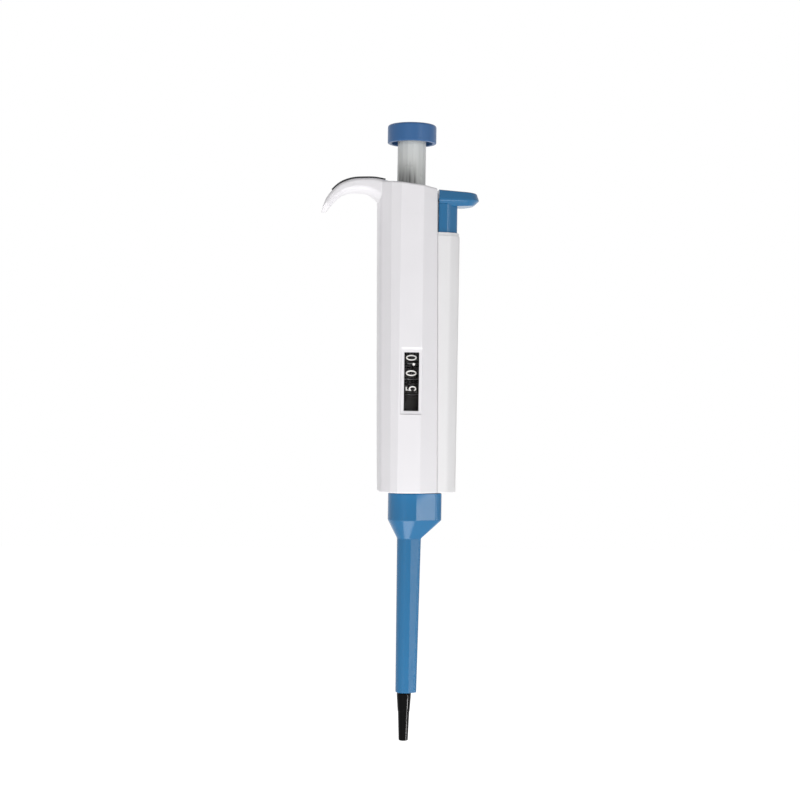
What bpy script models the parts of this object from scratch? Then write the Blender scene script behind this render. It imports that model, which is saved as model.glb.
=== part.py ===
"""An adjustable single-channel air-displacement pipette, 240 mm tall, as an assembly of its real pieces.

Metres, +Z up. The pipette's own axis is the Z axis and the end of its nozzle lies at z = 0. The counter
window faces -Y, the finger hook points to -X and the tip ejector to +X. Every piece is stacked on the one
below it, so heights are worked out from the nozzle upwards.
"""

import math

import bmesh
import bpy
from mathutils import Matrix, Vector

# Clearance between two pieces that touch, slide or turn on each other
GAP = 0.0003

# Round pieces
SEGMENTS = 40
SMALL_SEGMENTS = 20
SHARP_ANGLE = math.radians(32)

# Nozzle: the cone that the disposable tip is pushed onto
CONE_LENGTH = 0.0184
CONE_END_RADIUS = 0.0017
CONE_END_FILLET = 0.0003
CONE_RING_HEIGHT = 0.0114
CONE_RING_WIDTH = 0.0009
CONE_RING_RADIUS = 0.00225
CONE_TOP_RADIUS = 0.00272
AIR_CHANNEL_RADIUS = 0.0005
SPIGOT_LENGTH = 0.0051
SPIGOT_WALL = 0.0005

# Piston and the travel of the push button
PISTON_RADIUS = 0.00117
PISTON_END_REST = 0.030
MEASURING_STROKE = 0.0117
BLOWOUT_STROKE = 0.0025
PISTON_HEAD_RADIUS = 0.0031
PISTON_HEAD_HEIGHT = 0.0033
PISTON_CHAMFER = 0.00025

# Lower housing, a turned tube
TUBE_RADIUS = 0.0027
TUBE_SHOULDER_RADIUS = 0.0061
TUBE_CUP_RADIUS = 0.0076
TUBE_CUP_WALL = 0.0013
SPRING_CHAMBER_RADIUS = 0.0032

# Seal pack round the piston
SEAL_POCKET_RISE = 0.0044
SEAL_HEIGHT = 0.0020
SEAL_LIP = 0.0006
RETAINER_HEIGHT = 0.0024
RETAINER_WALL = 0.0007

# Springs: mean radius, wire and turns
PISTON_SPRING_RADIUS = 0.0025
PISTON_SPRING_WIRE = 0.00045
PISTON_SPRING_TURNS = 11
BLOWOUT_SPRING_RADIUS = 0.0050
BLOWOUT_SPRING_WIRE = 0.0007
BLOWOUT_SPRING_TURNS = 3
BLOWOUT_SPRING_LENGTH = 0.0046
EJECTOR_SPRING_WIRE = 0.0005
EJECTOR_SPRING_TURNS = 12

# Second stop and its housing
BLOWOUT_PLATE_THICKNESS = 0.0012
BLOWOUT_PLATE_HOLE = 0.0036
SPRING_HOUSING_RADIUS = 0.0076
STOP_COLLAR_RADIUS = 0.0048
STOP_COLLAR_HEIGHT = 0.0035
NUT_NOTCH_WIDTH = 0.0012
NUT_NOTCH_DEPTH = 0.0003
NUT_NOTCH_LENGTH = 0.0020

# Tip ejector sleeve, from its lower end up
EJECTOR_TRAVEL = 0.0100
SLEEVE_STEM_LENGTH = 0.0598
SLEEVE_SHOULDER_LENGTH = 0.0077
SLEEVE_BLOCK_LENGTH = 0.0104
SLEEVE_STEM_WALL = 0.0004
SLEEVE_STEM_WALL_TOP = 0.0006
SLEEVE_RIB_REACH = 0.00475
SLEEVE_RIB_REACH_TOP = 0.0057
SLEEVE_RIB_HALF_WIDTH = 0.0012
SLEEVE_FOOT_HEIGHT = 0.0017
SLEEVE_FOOT_STEP = 0.00025
SLEEVE_BLOCK_RADIUS = 0.0074
SLEEVE_NOSE_REACH = 0.0134
SLEEVE_NOSE_HALF_WIDTH = 0.0048
SLEEVE_SOCKET_DEPTH = 0.0084

# Handle shell: a faceted moulding that widens towards the hook side as it rises
HANDLE_LENGTH = 0.1190
HANDLE_WALL = 0.0015
HANDLE_FLOOR = 0.0016
HANDLE_FRONT = 0.0120
HANDLE_BACK = 0.0137
HANDLE_LEFT_BOTTOM = 0.0111
HANDLE_LEFT_TOP = 0.0128
HANDLE_LEFT_SWELL = 0.8
HANDLE_RIGHT_BOTTOM = 0.0110
HANDLE_RIGHT_TOP = 0.0095
FACET_LEFT = 0.00495
FACET_RIGHT = 0.00375
SIDE_FACET_DEPTH = 0.0102
SIDE_FACET_SHARE = 0.67
RIGHT_FACET_DEPTH = 0.0076
FACET_ROUND = 0.0010
BACK_RIGHT_ROUND = 0.0048
BACK_LEFT_ROUND = 0.0062
HOOK_SIDE_ROUND = 0.0040
TOP_SLOPE = 0.115
EDGE_FILLET = 0.0008
CAVITY_RIGHT = 0.0090
RIGHT_WALL = 0.0012
ROOF_DEPTH = 0.0106
BUSH_RADIUS = 0.0077
BUSH_LENGTH = 0.0066
BUSH_COVER = 0.0024

# Counter window in the front wall
WINDOW_HALF_WIDTH = 0.00286
WINDOW_SILL = 0.00115
WINDOW_RECESS = 0.00045
WINDOW_TOP_SLOPE = 0.00085
WINDOW_SIDE_SLOPE = 0.00027
WINDOW_LENS_THICKNESS = 0.0009
WINDOW_LENS_MARGIN = 0.0009
WINDOW_REBATE = 0.0006
WINDOW_BELOW_BLANK = 0.0026
WINDOW_ABOVE_TENTHS = 0.0020

# Finger hook, its outline seen from the front
HOOK_HALF_WIDTH = 0.0065
HOOK_EDGE = 0.0011
HOOK_PAD_HALF_WIDTH = 0.0047
HOOK_PAD_SHOWN = 0.0013
HOOK_PAD_SUNK = 0.0006
HOOK_REACH = 0.0353
HOOK_DROP = 0.0135
HOOK_CROWN_RISE = 0.0032
HOOK_THICKNESS = 0.0064
HOOK_TAPER = 0.82
HOOK_PAD_SHARE = 0.75

# Push button and its sleeve
PLUNGER_SHOWN = 0.0169
PLUNGER_RADIUS = 0.00555
PLUNGER_WALL = 0.0012
BUTTON_RADIUS = 0.0095
BUTTON_HEIGHT = 0.0078
BUTTON_DOME = 0.0006
BUTTON_FILLET = 0.0012
BUTTON_SOCKET = 0.0028
BUTTON_RECESS = 0.0010
BUTTON_RIM = 0.0016
ROD_RADIUS = 0.00175

# Volume setting: hub, spindle and nut
HUB_LENGTH = 0.0351
HUB_WALL = 0.0015
HUB_FLOOR = 0.0020
HUB_RIB_HALF_WIDTH = 0.0006
HUB_RIB_RISE = 0.00055
SPINDLE_RADIUS = 0.0040
SPINDLE_KEY_HALF_WIDTH = 0.0005
SPINDLE_KEY_RISE = 0.0006
NUT_ACROSS_FLATS = 0.0124
NUT_HEIGHT = 0.0047

# Counter: four number wheels on the spindle, driven through two carry pinions
WHEEL_PITCH = 0.00596
DRUM_RADIUS = 0.0084
DRUM_LENGTH = 0.0042
BLANK_DRUM_DROP = 0.0040
DRUM_CHAMFER = 0.00015
GEAR_MODULE = 0.000475
WHEEL_TEETH = 32
PINION_TEETH = 8
TOOTH_THICKNESS = 0.00058
ADDENDUM_SHARE = 0.95
DEDENDUM_SHARE = 1.25
PINION_SHAFT_RADIUS = 0.0006
FRAME_FLOOR = 0.0014
FRAME_ROOF = 0.0030
FRAME_POST_RADIUS = 0.0009
FRAME_POST_ANGLE = math.radians(45)

# Tip ejector: cover, rod and button on the right of the handle
COVER_TOP_DROP = 0.0179
COVER_REACH_BOTTOM = 0.0188
COVER_REACH_TOP = 0.01905
COVER_HALF_WIDTH = 0.0066
COVER_FLAT_REACH = 0.0146
COVER_NOSE_HALF_WIDTH = 0.0034
COVER_WALL = 0.0007
COVER_FLOOR = 0.0012
COVER_EDGE_ROUND = 0.0012
COVER_NOSE_ROUND = 0.0024
EJECTOR_ROD_LEFT = 0.0102
EJECTOR_ROD_WIDTH = 0.0024
EJECTOR_ROD_HALF_DEPTH = 0.0020
SPRING_LEDGE_DROP = 0.0400
SPRING_POST_LENGTH = 0.0150
STEM_IN_COVER = 0.0127
STEM_POCKET = 0.0060
THUMB_REACH = 0.0265
THUMB_HALF_WIDTH = 0.0066
THUMB_END_ROUND = 0.0052
THUMB_END_THICKNESS = 0.0040
THUMB_DROP = 0.0022
THUMB_EDGE = 0.0011

# Heights from the nozzle's end upwards
BORE_RADIUS = PISTON_RADIUS + GAP
STROKE = MEASURING_STROKE + BLOWOUT_STROKE
TUBE_BOTTOM = CONE_LENGTH + GAP
SLEEVE_BOTTOM = TUBE_BOTTOM + GAP / 3
SHOULDER_BOTTOM = SLEEVE_BOTTOM + SLEEVE_STEM_LENGTH
BLOCK_BOTTOM = SHOULDER_BOTTOM + SLEEVE_SHOULDER_LENGTH
BLOCK_TOP = BLOCK_BOTTOM + SLEEVE_BLOCK_LENGTH
HANDLE_BOTTOM = BLOCK_TOP + GAP
FLOOR_TOP = HANDLE_BOTTOM + HANDLE_FLOOR
HANDLE_TOP = HANDLE_BOTTOM + HANDLE_LENGTH
CAVITY_TOP = HANDLE_TOP - ROOF_DEPTH
SEAL_POCKET_FLOOR = SHOULDER_BOTTOM + SEAL_POCKET_RISE
SEAL_BOTTOM = SEAL_POCKET_FLOOR + GAP
RING_BOTTOM = SEAL_BOTTOM + SEAL_HEIGHT + GAP
RING_MINOR_RADIUS = (SPRING_CHAMBER_RADIUS - GAP - BORE_RADIUS) / 2
RETAINER_BOTTOM = RING_BOTTOM + 2 * RING_MINOR_RADIUS + GAP
RETAINER_TOP = RETAINER_BOTTOM + RETAINER_HEIGHT
LEDGE = FLOOR_TOP - HANDLE_FLOOR / 3
PLATE_BOTTOM = LEDGE + GAP + BLOWOUT_SPRING_LENGTH + GAP
PLATE_TOP = PLATE_BOTTOM + BLOWOUT_PLATE_THICKNESS
COLLAR_BOTTOM = PLATE_TOP + GAP + MEASURING_STROKE
COLLAR_TOP = COLLAR_BOTTOM + STOP_COLLAR_HEIGHT
HEAD_TOP = COLLAR_BOTTOM - GAP
HEAD_BOTTOM = HEAD_TOP - PISTON_HEAD_HEIGHT
SPINDLE_BOTTOM = COLLAR_TOP + GAP
FRAME_BOTTOM = COLLAR_TOP + GAP
NUT_BOTTOM = FRAME_BOTTOM + FRAME_FLOOR + GAP
FRAME_FLOOR_TOP = NUT_BOTTOM + NUT_HEIGHT + GAP
BLANK_CENTRE = FRAME_FLOOR_TOP + GAP + BLANK_DRUM_DROP
TENS_CENTRE = BLANK_CENTRE + WHEEL_PITCH
UNITS_CENTRE = TENS_CENTRE + WHEEL_PITCH
TENTHS_CENTRE = UNITS_CENTRE + WHEEL_PITCH
FRAME_ROOF_BOTTOM = TENTHS_CENTRE + DRUM_LENGTH / 2 + GAP
FRAME_TOP = FRAME_ROOF_BOTTOM + FRAME_ROOF
HUB_BOTTOM = FRAME_TOP + GAP
HUB_TOP = HUB_BOTTOM + HUB_LENGTH
PLUNGER_BOTTOM = HUB_BOTTOM + HUB_FLOOR + STROKE + GAP
BUTTON_BOTTOM = HANDLE_TOP + PLUNGER_SHOWN
BUTTON_TOP = BUTTON_BOTTOM + BUTTON_HEIGHT
PLUNGER_TOP = BUTTON_BOTTOM + BUTTON_SOCKET - GAP
BUSH_TOP = HANDLE_TOP - BUSH_COVER - GAP
WINDOW_LOW = BLANK_CENTRE - WINDOW_BELOW_BLANK
WINDOW_HIGH = TENTHS_CENTRE + WINDOW_ABOVE_TENTHS

# Gears: both wheels of a pair have the same module, so their pitch circles touch
WHEEL_PITCH_RADIUS = GEAR_MODULE * WHEEL_TEETH / 2
PINION_PITCH_RADIUS = GEAR_MODULE * PINION_TEETH / 2
PINION_AXIS = WHEEL_PITCH_RADIUS + PINION_PITCH_RADIUS
WHEEL_SPACE = WHEEL_PITCH - DRUM_LENGTH
SPINDLE_CLEAR = SPINDLE_RADIUS + GAP

# Ejector: what rides beside the handle
COVER_TOP = HANDLE_TOP - COVER_TOP_DROP
ROD_RIGHT = EJECTOR_ROD_LEFT + EJECTOR_ROD_WIDTH
ROD_CENTRE = EJECTOR_ROD_LEFT + EJECTOR_ROD_WIDTH / 2
STEM_BOTTOM = COVER_TOP - STEM_IN_COVER
ROD_TOP = STEM_BOTTOM + STEM_POCKET - GAP
SLOT_HALF_DEPTH = EJECTOR_ROD_HALF_DEPTH + GAP
LEDGE_TOP = COVER_TOP - SPRING_LEDGE_DROP
SPRING_ROOM_LOW = ROD_RIGHT + GAP
SPRING_ROOM_HIGH = min(COVER_REACH_BOTTOM, COVER_REACH_TOP) - COVER_WALL - 2 * GAP
SPRING_CENTRE = (SPRING_ROOM_LOW + SPRING_ROOM_HIGH) / 2
EJECTOR_SPRING_RADIUS = (SPRING_ROOM_HIGH - SPRING_ROOM_LOW - EJECTOR_SPRING_WIRE) / 2
SPRING_POST_RADIUS = EJECTOR_SPRING_RADIUS - EJECTOR_SPRING_WIRE / 2 - GAP

# Colour, roughness and metallic value of each real material
WHITE_ABS = ((0.83, 0.82, 0.83), 0.38, 0.0)
BLUE_ABS = ((0.027, 0.168, 0.413), 0.34, 0.0)
GREY_ABS = ((0.52, 0.53, 0.52), 0.36, 0.0)
BLACK_PVDF = ((0.012, 0.012, 0.013), 0.25, 0.0)
BLACK_ACETAL = ((0.018, 0.018, 0.018), 0.45, 0.0)
WHITE_ACETAL = ((0.78, 0.78, 0.76), 0.42, 0.0)
DARK_ELASTOMER = ((0.045, 0.045, 0.047), 0.62, 0.0)
CLEAR_PC = ((0.92, 0.94, 0.95), 0.06, 0.0)
STEEL = ((0.62, 0.62, 0.63), 0.26, 1.0)
SPRING_STEEL = ((0.50, 0.50, 0.52), 0.32, 1.0)
BRASS = ((0.78, 0.57, 0.26), 0.33, 1.0)
SEAL_PE = ((0.86, 0.86, 0.84), 0.5, 0.0)


def clear_scene():
    for obj in list(bpy.data.objects):
        bpy.data.objects.remove(obj, do_unlink=True)


def material_of(name, finish):
    """A Principled material of its own for one piece."""
    colour, roughness, metallic = finish
    material = bpy.data.materials.new(name)
    material.use_nodes = True
    shader = material.node_tree.nodes["Principled BSDF"]
    shader.inputs["Base Color"].default_value = (*colour, 1.0)
    shader.inputs["Roughness"].default_value = roughness
    shader.inputs["Metallic"].default_value = metallic
    if finish is CLEAR_PC:
        shader.inputs["Transmission Weight"].default_value = 0.95
        shader.inputs["IOR"].default_value = 1.58
    return material


def body(name, parent=None, at=(0, 0, 0)):
    """An empty on a joint's axis, which carries the pieces that move together."""
    empty = bpy.data.objects.new(name, None)
    empty.empty_display_size = 0.01
    bpy.context.scene.collection.objects.link(empty)
    empty.location = at
    if parent:
        empty.parent = parent
        empty.location = Vector(at) - parent.matrix_world.translation
    bpy.context.view_layer.update()
    return empty


def piece(name, shape, finish, carrier):
    """Turns a shape drawn in world coordinates into a named piece whose origin is its carrier's."""
    origin = carrier.matrix_world.translation
    bmesh.ops.translate(shape, vec=-origin, verts=shape.verts)
    mesh = bpy.data.meshes.new(name)
    shape.to_mesh(mesh)
    shape.free()
    mesh.shade_smooth()
    mesh.set_sharp_from_angle(angle=SHARP_ANGLE)
    mesh.materials.append(material_of(name, finish))
    obj = bpy.data.objects.new(name, mesh)
    bpy.context.scene.collection.objects.link(obj)
    obj.parent = carrier
    return obj


def helper(name, shape):
    """A hidden shape that a Boolean modifier uses."""
    mesh = bpy.data.meshes.new(name)
    shape.to_mesh(mesh)
    shape.free()
    obj = bpy.data.objects.new(name, mesh)
    bpy.context.scene.collection.objects.link(obj)
    obj.hide_render = True
    obj.display_type = "WIRE"
    return obj


def combine(obj, operation, label, shape):
    tool = shape if isinstance(shape, bpy.types.Object) else helper(f"{obj.name}_{label}", shape)
    modifier = obj.modifiers.new(label, "BOOLEAN")
    modifier.operation = operation
    modifier.solver = "EXACT"
    modifier.object = tool


def cut(obj, label, shape):
    combine(obj, "DIFFERENCE", label, shape)


def join(obj, label, shape):
    combine(obj, "UNION", label, shape)


def round_edges(obj, width, segments=2, angle=35):
    modifier = obj.modifiers.new("edges", "BEVEL")
    modifier.width = width
    modifier.segments = segments
    modifier.limit_method = "ANGLE"
    modifier.angle_limit = math.radians(angle)


def turned(profile, centre=(0, 0), segments=SEGMENTS):
    """A solid of revolution about a vertical line. The profile is (radius, height) pairs, closed by itself
    where it keeps off the axis."""
    shape = bmesh.new()
    points = [shape.verts.new((radius, 0, height)) for radius, height in profile]
    pairs = list(zip(points, points[1:]))
    if profile[0][0] > 0 or profile[-1][0] > 0:
        pairs.append((points[-1], points[0]))
    edges = [shape.edges.new(pair) for pair in pairs]
    bmesh.ops.spin(
        shape,
        geom=points + edges,
        cent=(0, 0, 0),
        axis=(0, 0, 1),
        angle=2 * math.pi,
        steps=segments,
        use_merge=True,
    )
    bmesh.ops.remove_doubles(shape, verts=shape.verts, dist=1e-6)
    bmesh.ops.recalc_face_normals(shape, faces=shape.faces)
    bmesh.ops.translate(shape, vec=(*centre, 0), verts=shape.verts)
    return shape


def cylinder(radius, low, high, centre=(0, 0), segments=SEGMENTS):
    return turned([(0, low), (radius, low), (radius, high), (0, high)], centre, segments)


def ring(inner, outer, low, high, segments=SEGMENTS):
    return turned([(inner, low), (outer, low), (outer, high), (inner, high)], segments=segments)


def block(low, high):
    """A box between two opposite corners."""
    low, high = Vector(low), Vector(high)
    shape = bmesh.new()
    bmesh.ops.create_cube(shape, size=1.0)
    bmesh.ops.scale(shape, vec=high - low, verts=shape.verts)
    bmesh.ops.translate(shape, vec=(low + high) / 2, verts=shape.verts)
    return shape


def loft(rings):
    """Skins rings of equal length, one above the other, and closes both ends."""
    shape = bmesh.new()
    loops = [[shape.verts.new(point) for point in points] for points in rings]
    for lower, upper in zip(loops, loops[1:]):
        for index, corner in enumerate(lower):
            after = (index + 1) % len(lower)
            shape.faces.new((corner, lower[after], upper[after], upper[index]))
    shape.faces.new(list(reversed(loops[0])))
    shape.faces.new(loops[-1])
    bmesh.ops.recalc_face_normals(shape, faces=shape.faces)
    return shape


def prism(outline, low, high):
    """An outline in plan, raised from one height to another."""
    return loft([[(x, y, height) for x, y in outline] for height in (low, high)])


def side_prism(outline, half_width, end_half_width=None):
    """An outline seen from the front, given thickness to both sides of the middle plane."""
    reach = half_width if end_half_width is None else end_half_width
    widest = min(x for x, _ in outline)
    start = max(x for x, _ in outline)
    rings = []
    for side in (-1, 1):
        row = []
        for x, z in outline:
            share = (start - x) / (start - widest)
            row.append((x, side * (half_width + (reach - half_width) * share), z))
        rings.append(row)
    return loft(rings)


def inset_corners(corners, inset):
    """Moves every side of a corner list inwards; each corner is (x, y, radius), anticlockwise."""
    moved = []
    for index, (x, y, radius) in enumerate(corners):
        before = Vector(corners[index - 1][:2])
        here = Vector((x, y))
        after = Vector(corners[(index + 1) % len(corners)][:2])
        come = (here - before).normalized()
        leave = (after - here).normalized()
        inward = Vector((-come.y, come.x)) + Vector((-leave.y, leave.x))
        inward.normalize()
        half = math.acos(max(-1.0, min(1.0, come.dot(leave)))) / 2
        point = here + inward * inset / math.cos(half)
        moved.append((point.x, point.y, max(radius - inset, EDGE_FILLET / 4)))
    return moved


def rounded_outline(corners, inset=0.0, steps=4):
    """The outline of a corner list, each corner as an arc of the same number of points."""
    points = []
    placed = inset_corners(corners, inset) if inset else corners
    for index, (x, y, radius) in enumerate(placed):
        here = Vector((x, y))
        before = (Vector(placed[index - 1][:2]) - here).normalized()
        after = (Vector(placed[(index + 1) % len(placed)][:2]) - here).normalized()
        opening = before.angle(after)
        centre = here + (before + after).normalized() * radius / math.sin(opening / 2)
        start = here + before * radius / math.tan(opening / 2)
        swing = math.pi - opening
        for step in range(steps + 1):
            arm = (start - centre).copy()
            arm.rotate(Matrix.Rotation(swing * step / steps, 2))
            points.append(tuple(centre + arm))
    return points


def curve_through(points, steps):
    """A smooth curve through a few points, as a Catmull-Rom spline."""
    ends = [2 * Vector(points[0]) - Vector(points[1]), *map(Vector, points)]
    ends.append(2 * Vector(points[-1]) - Vector(points[-2]))
    curve = []
    for a, b, c, d in zip(ends, ends[1:], ends[2:], ends[3:]):
        for step in range(steps):
            t = step / steps
            straight = 2 * b + (c - a) * t
            bend = (2 * a - 5 * b + 4 * c - d) * t**2 + (3 * b - a - 3 * c + d) * t**3
            curve.append(tuple((straight + bend) / 2))
    curve.append(tuple(points[-1]))
    return curve


def beside(curve, distance):
    """The same curve moved sideways, to the left of its run."""
    moved = []
    for index, point in enumerate(curve):
        before = Vector(curve[max(index - 1, 0)])
        after = Vector(curve[min(index + 1, len(curve) - 1)])
        run = (after - before).normalized()
        moved.append((point[0] - run.y * distance, point[1] + run.x * distance))
    return moved


def coil(radius, wire, low, high, turns, centre=(0, 0), sides=5, steps_per_turn=12):
    """A compression spring of round wire with one closed turn at each end."""
    shape = bmesh.new()
    end_pitch = wire * 1.35
    free_pitch = (high - low - wire - 2 * end_pitch) / (turns - 2)
    loops = []
    for step in range(turns * steps_per_turn + 1):
        turn = step / steps_per_turn
        closed = min(turn, 1) + max(turn - (turns - 1), 0)
        height = low + wire / 2 + closed * end_pitch + (turn - closed) * free_pitch
        angle = 2 * math.pi * turn
        outward = Vector((math.cos(angle), math.sin(angle), 0))
        middle = Vector((*centre, height)) + outward * radius
        loop = []
        for side in range(sides):
            around = 2 * math.pi * side / sides
            offset = outward * math.cos(around) + Vector((0, 0, math.sin(around)))
            loop.append(shape.verts.new(middle + offset * wire / 2))
        loops.append(loop)
    for first, second in zip(loops, loops[1:]):
        for side in range(sides):
            other = (side + 1) % sides
            shape.faces.new((first[side], first[other], second[other], second[side]))
    shape.faces.new(loops[0])
    shape.faces.new(loops[-1])
    bmesh.ops.recalc_face_normals(shape, faces=shape.faces)
    return shape


def gear_outline(teeth, centre=(0, 0), turned_by=0.0):
    """Spur teeth with straight flanks that narrow from root to tip, thinned for running clearance."""
    pitch_radius = GEAR_MODULE * teeth / 2
    root = pitch_radius - DEDENDUM_SHARE * GEAR_MODULE
    tip = pitch_radius + ADDENDUM_SHARE * GEAR_MODULE
    half = TOOTH_THICKNESS / 2 / pitch_radius
    root_half = (TOOTH_THICKNESS * 0.66) / pitch_radius
    tip_half = (TOOTH_THICKNESS * 0.24) / tip
    outline = []
    for tooth in range(teeth):
        middle = turned_by + 2 * math.pi * tooth / teeth
        flank = [(root, -root_half), (pitch_radius, -half), (tip, -tip_half)]
        flank += [(tip, tip_half), (pitch_radius, half), (root, root_half)]
        for radius, aside in flank:
            x = centre[0] + radius * math.cos(middle + aside)
            y = centre[1] + radius * math.sin(middle + aside)
            outline.append((x, y))
    return outline


def handle_left(height):
    """The hook side swells outwards as the handle rises."""
    share = min(max((height - HANDLE_BOTTOM) / HANDLE_LENGTH, 0), 1) ** HANDLE_LEFT_SWELL
    return -(HANDLE_LEFT_BOTTOM + (HANDLE_LEFT_TOP - HANDLE_LEFT_BOTTOM) * share)


def handle_right(height):
    """The side that the ejector cover stands against leans inwards as the handle rises."""
    share = (height - HANDLE_BOTTOM) / HANDLE_LENGTH
    return HANDLE_RIGHT_BOTTOM + (HANDLE_RIGHT_TOP - HANDLE_RIGHT_BOTTOM) * share


def handle_corners(height, right=None):
    """The handle's plan at one height: a flat front facet between sloping ones, a flat right side and a
    rounded back."""
    left = handle_left(height)
    if right is None:
        right = handle_right(height)
    return [
        (-FACET_LEFT, -HANDLE_FRONT, FACET_ROUND),
        (FACET_RIGHT, -HANDLE_FRONT, FACET_ROUND),
        (right, -RIGHT_FACET_DEPTH, FACET_ROUND),
        (right, HANDLE_BACK, BACK_RIGHT_ROUND),
        (left, HANDLE_BACK, BACK_LEFT_ROUND),
        (left, -HANDLE_FRONT / 2, HOOK_SIDE_ROUND),
        (left * SIDE_FACET_SHARE, -SIDE_FACET_DEPTH, FACET_ROUND),
    ]


def handle_top(x):
    """The handle's roof slopes down towards the ejector."""
    return HANDLE_TOP - TOP_SLOPE * x


def handle_ring(height, inset=0.0):
    return [(x, y, height) for x, y in rounded_outline(handle_corners(height), inset)]


def handle_roof_ring(below, inset=0.0):
    outline = rounded_outline(handle_corners(HANDLE_TOP), inset)
    return [(x, y, handle_top(x) - below) for x, y in outline]


def cavity_outline(height, clearance=0.0):
    right = min(CAVITY_RIGHT, handle_right(height) - RIGHT_WALL)
    corners = handle_corners(height, right + HANDLE_WALL)
    return rounded_outline(corners, HANDLE_WALL + clearance)


def hook_lines():
    """The hook's upper and lower edge, seen from the front, from the handle out to its tip."""
    crown = HANDLE_TOP + HOOK_CROWN_RISE
    roof = crown - HOOK_THICKNESS
    reaches = (0.29, 0.41, 0.53, 0.66, 0.78, 0.87, 0.96, 1.0)
    drops = (0.05, 0.0, 0.0, 0.03, 0.14, 0.325, 0.63, 1.0)
    top = [(-HOOK_REACH * reach, crown - HOOK_DROP * drop) for reach, drop in zip(reaches, drops)]
    reaches = (0.34, 0.40, 0.49, 0.62, 0.76, 0.87, 0.95)
    drops = (0.34, 0.18, 0.03, 0.0, 0.07, 0.32, 0.58)
    under = [(-HOOK_REACH * reach, roof - HOOK_DROP * drop) for reach, drop in zip(reaches, drops)]
    return curve_through(top, 4), curve_through(under, 3)


def hook_shape():
    """The hook's white body: it stops below its top line by what the pad shows above it."""
    top, under = hook_lines()
    body_top = beside(top, HOOK_PAD_SHOWN)
    fade = len(body_top) // 2
    for index in range(fade, len(top)):
        share = (index - fade) / (len(top) - 1 - fade)
        (x0, z0), (x1, z1) = body_top[index], top[index]
        body_top[index] = (x0 + (x1 - x0) * share, z0 + (z1 - z0) * share)
    inside = handle_left(HANDLE_TOP) / 2
    start = (inside, body_top[0][1] - HOOK_EDGE)
    finish = (inside, under[0][1] - HOOK_THICKNESS / 2)
    outline = [start, *body_top, *reversed(under), finish]
    return side_prism(outline, HOOK_HALF_WIDTH, HOOK_HALF_WIDTH * HOOK_TAPER)


def pad_outline(grow=0.0):
    """The pad is a band of even thickness along the hook's top line."""
    top, _ = hook_lines()
    band = top[: int(len(top) * HOOK_PAD_SHARE)]
    sunk = HOOK_PAD_SHOWN + HOOK_PAD_SUNK + grow
    lower = beside(band, sunk)
    upper = beside(band, -grow)
    return [*upper, *reversed(lower)]


def recess_ring(depth):
    """The recess round the window at a share of its depth; its upper wall slopes more than the others."""
    aside = WINDOW_HALF_WIDTH + WINDOW_SILL + WINDOW_SIDE_SLOPE * (1 - depth)
    low = WINDOW_LOW - WINDOW_SILL - WINDOW_SIDE_SLOPE * (1 - depth)
    high = WINDOW_HIGH + WINDOW_SILL + WINDOW_TOP_SLOPE * (1 - depth)
    y = -HANDLE_FRONT + WINDOW_RECESS * depth
    return [(-aside, y, low), (aside, y, low), (aside, y, high), (-aside, y, high)]


def build_handle_shell(carrier):
    """One moulding: faceted walls, a sloping roof with the finger hook, and the counter window."""
    levels = [0.02, 0.12, 0.30, 0.55, 0.8]
    rings = [handle_ring(HANDLE_BOTTOM, EDGE_FILLET)]
    rings.append(handle_ring(HANDLE_BOTTOM + EDGE_FILLET * 0.35, EDGE_FILLET * 0.3))
    rings.append(handle_ring(HANDLE_BOTTOM + EDGE_FILLET))
    rings += [handle_ring(HANDLE_BOTTOM + HANDLE_LENGTH * share) for share in levels[1:]]
    rings.append(handle_roof_ring(EDGE_FILLET))
    rings.append(handle_roof_ring(EDGE_FILLET * 0.35, EDGE_FILLET * 0.3))
    rings.append(handle_roof_ring(0.0, EDGE_FILLET))
    shell = piece("handle_shell", loft(rings), WHITE_ABS, carrier)

    hook = helper("handle_hook", hook_shape())
    round_edges(hook, HOOK_EDGE, 3, 40)
    join(shell, "hook", hook)

    cut(shell, "window_recess", loft([recess_ring(depth) for depth in (1, -1)]))

    cavity = [HANDLE_BOTTOM + HANDLE_LENGTH * share for share in levels[1:]]
    heights = [FLOOR_TOP, *cavity, CAVITY_TOP]
    rooms = [[(x, y, height) for x, y in cavity_outline(height)] for height in heights]
    cut(shell, "cavity", loft(rooms))
    cut(shell, "nozzle_hole", cylinder(TUBE_CUP_RADIUS + GAP, HANDLE_BOTTOM - GAP, FLOOR_TOP + GAP))
    cut(shell, "bush_bore", cylinder(BUSH_RADIUS + GAP, CAVITY_TOP - GAP, BUSH_TOP + GAP))
    cut(shell, "plunger_hole", cylinder(PLUNGER_RADIUS + GAP, CAVITY_TOP, HANDLE_TOP + ROOF_DEPTH))

    slot_low = (EJECTOR_ROD_LEFT - GAP, -SLOT_HALF_DEPTH, HANDLE_BOTTOM - GAP)
    cut(shell, "rod_slot", block(slot_low, (COVER_REACH_TOP, SLOT_HALF_DEPTH, ROD_TOP + GAP)))

    opening_low = (-WINDOW_HALF_WIDTH, -2 * HANDLE_FRONT, WINDOW_LOW)
    inner = -HANDLE_FRONT + HANDLE_WALL
    cut(shell, "window", block(opening_low, (WINDOW_HALF_WIDTH, inner + GAP, WINDOW_HIGH)))
    seat = WINDOW_LENS_MARGIN + GAP
    seat_low = (-WINDOW_HALF_WIDTH - seat, inner - WINDOW_REBATE, WINDOW_LOW - seat)
    cut(shell, "lens_seat", block(seat_low, (WINDOW_HALF_WIDTH + seat, inner + GAP, WINDOW_HIGH + seat)))

    pocket = side_prism(pad_outline(GAP), HOOK_PAD_HALF_WIDTH + GAP)
    cut(shell, "pad_pocket", pocket)
    return shell


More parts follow.
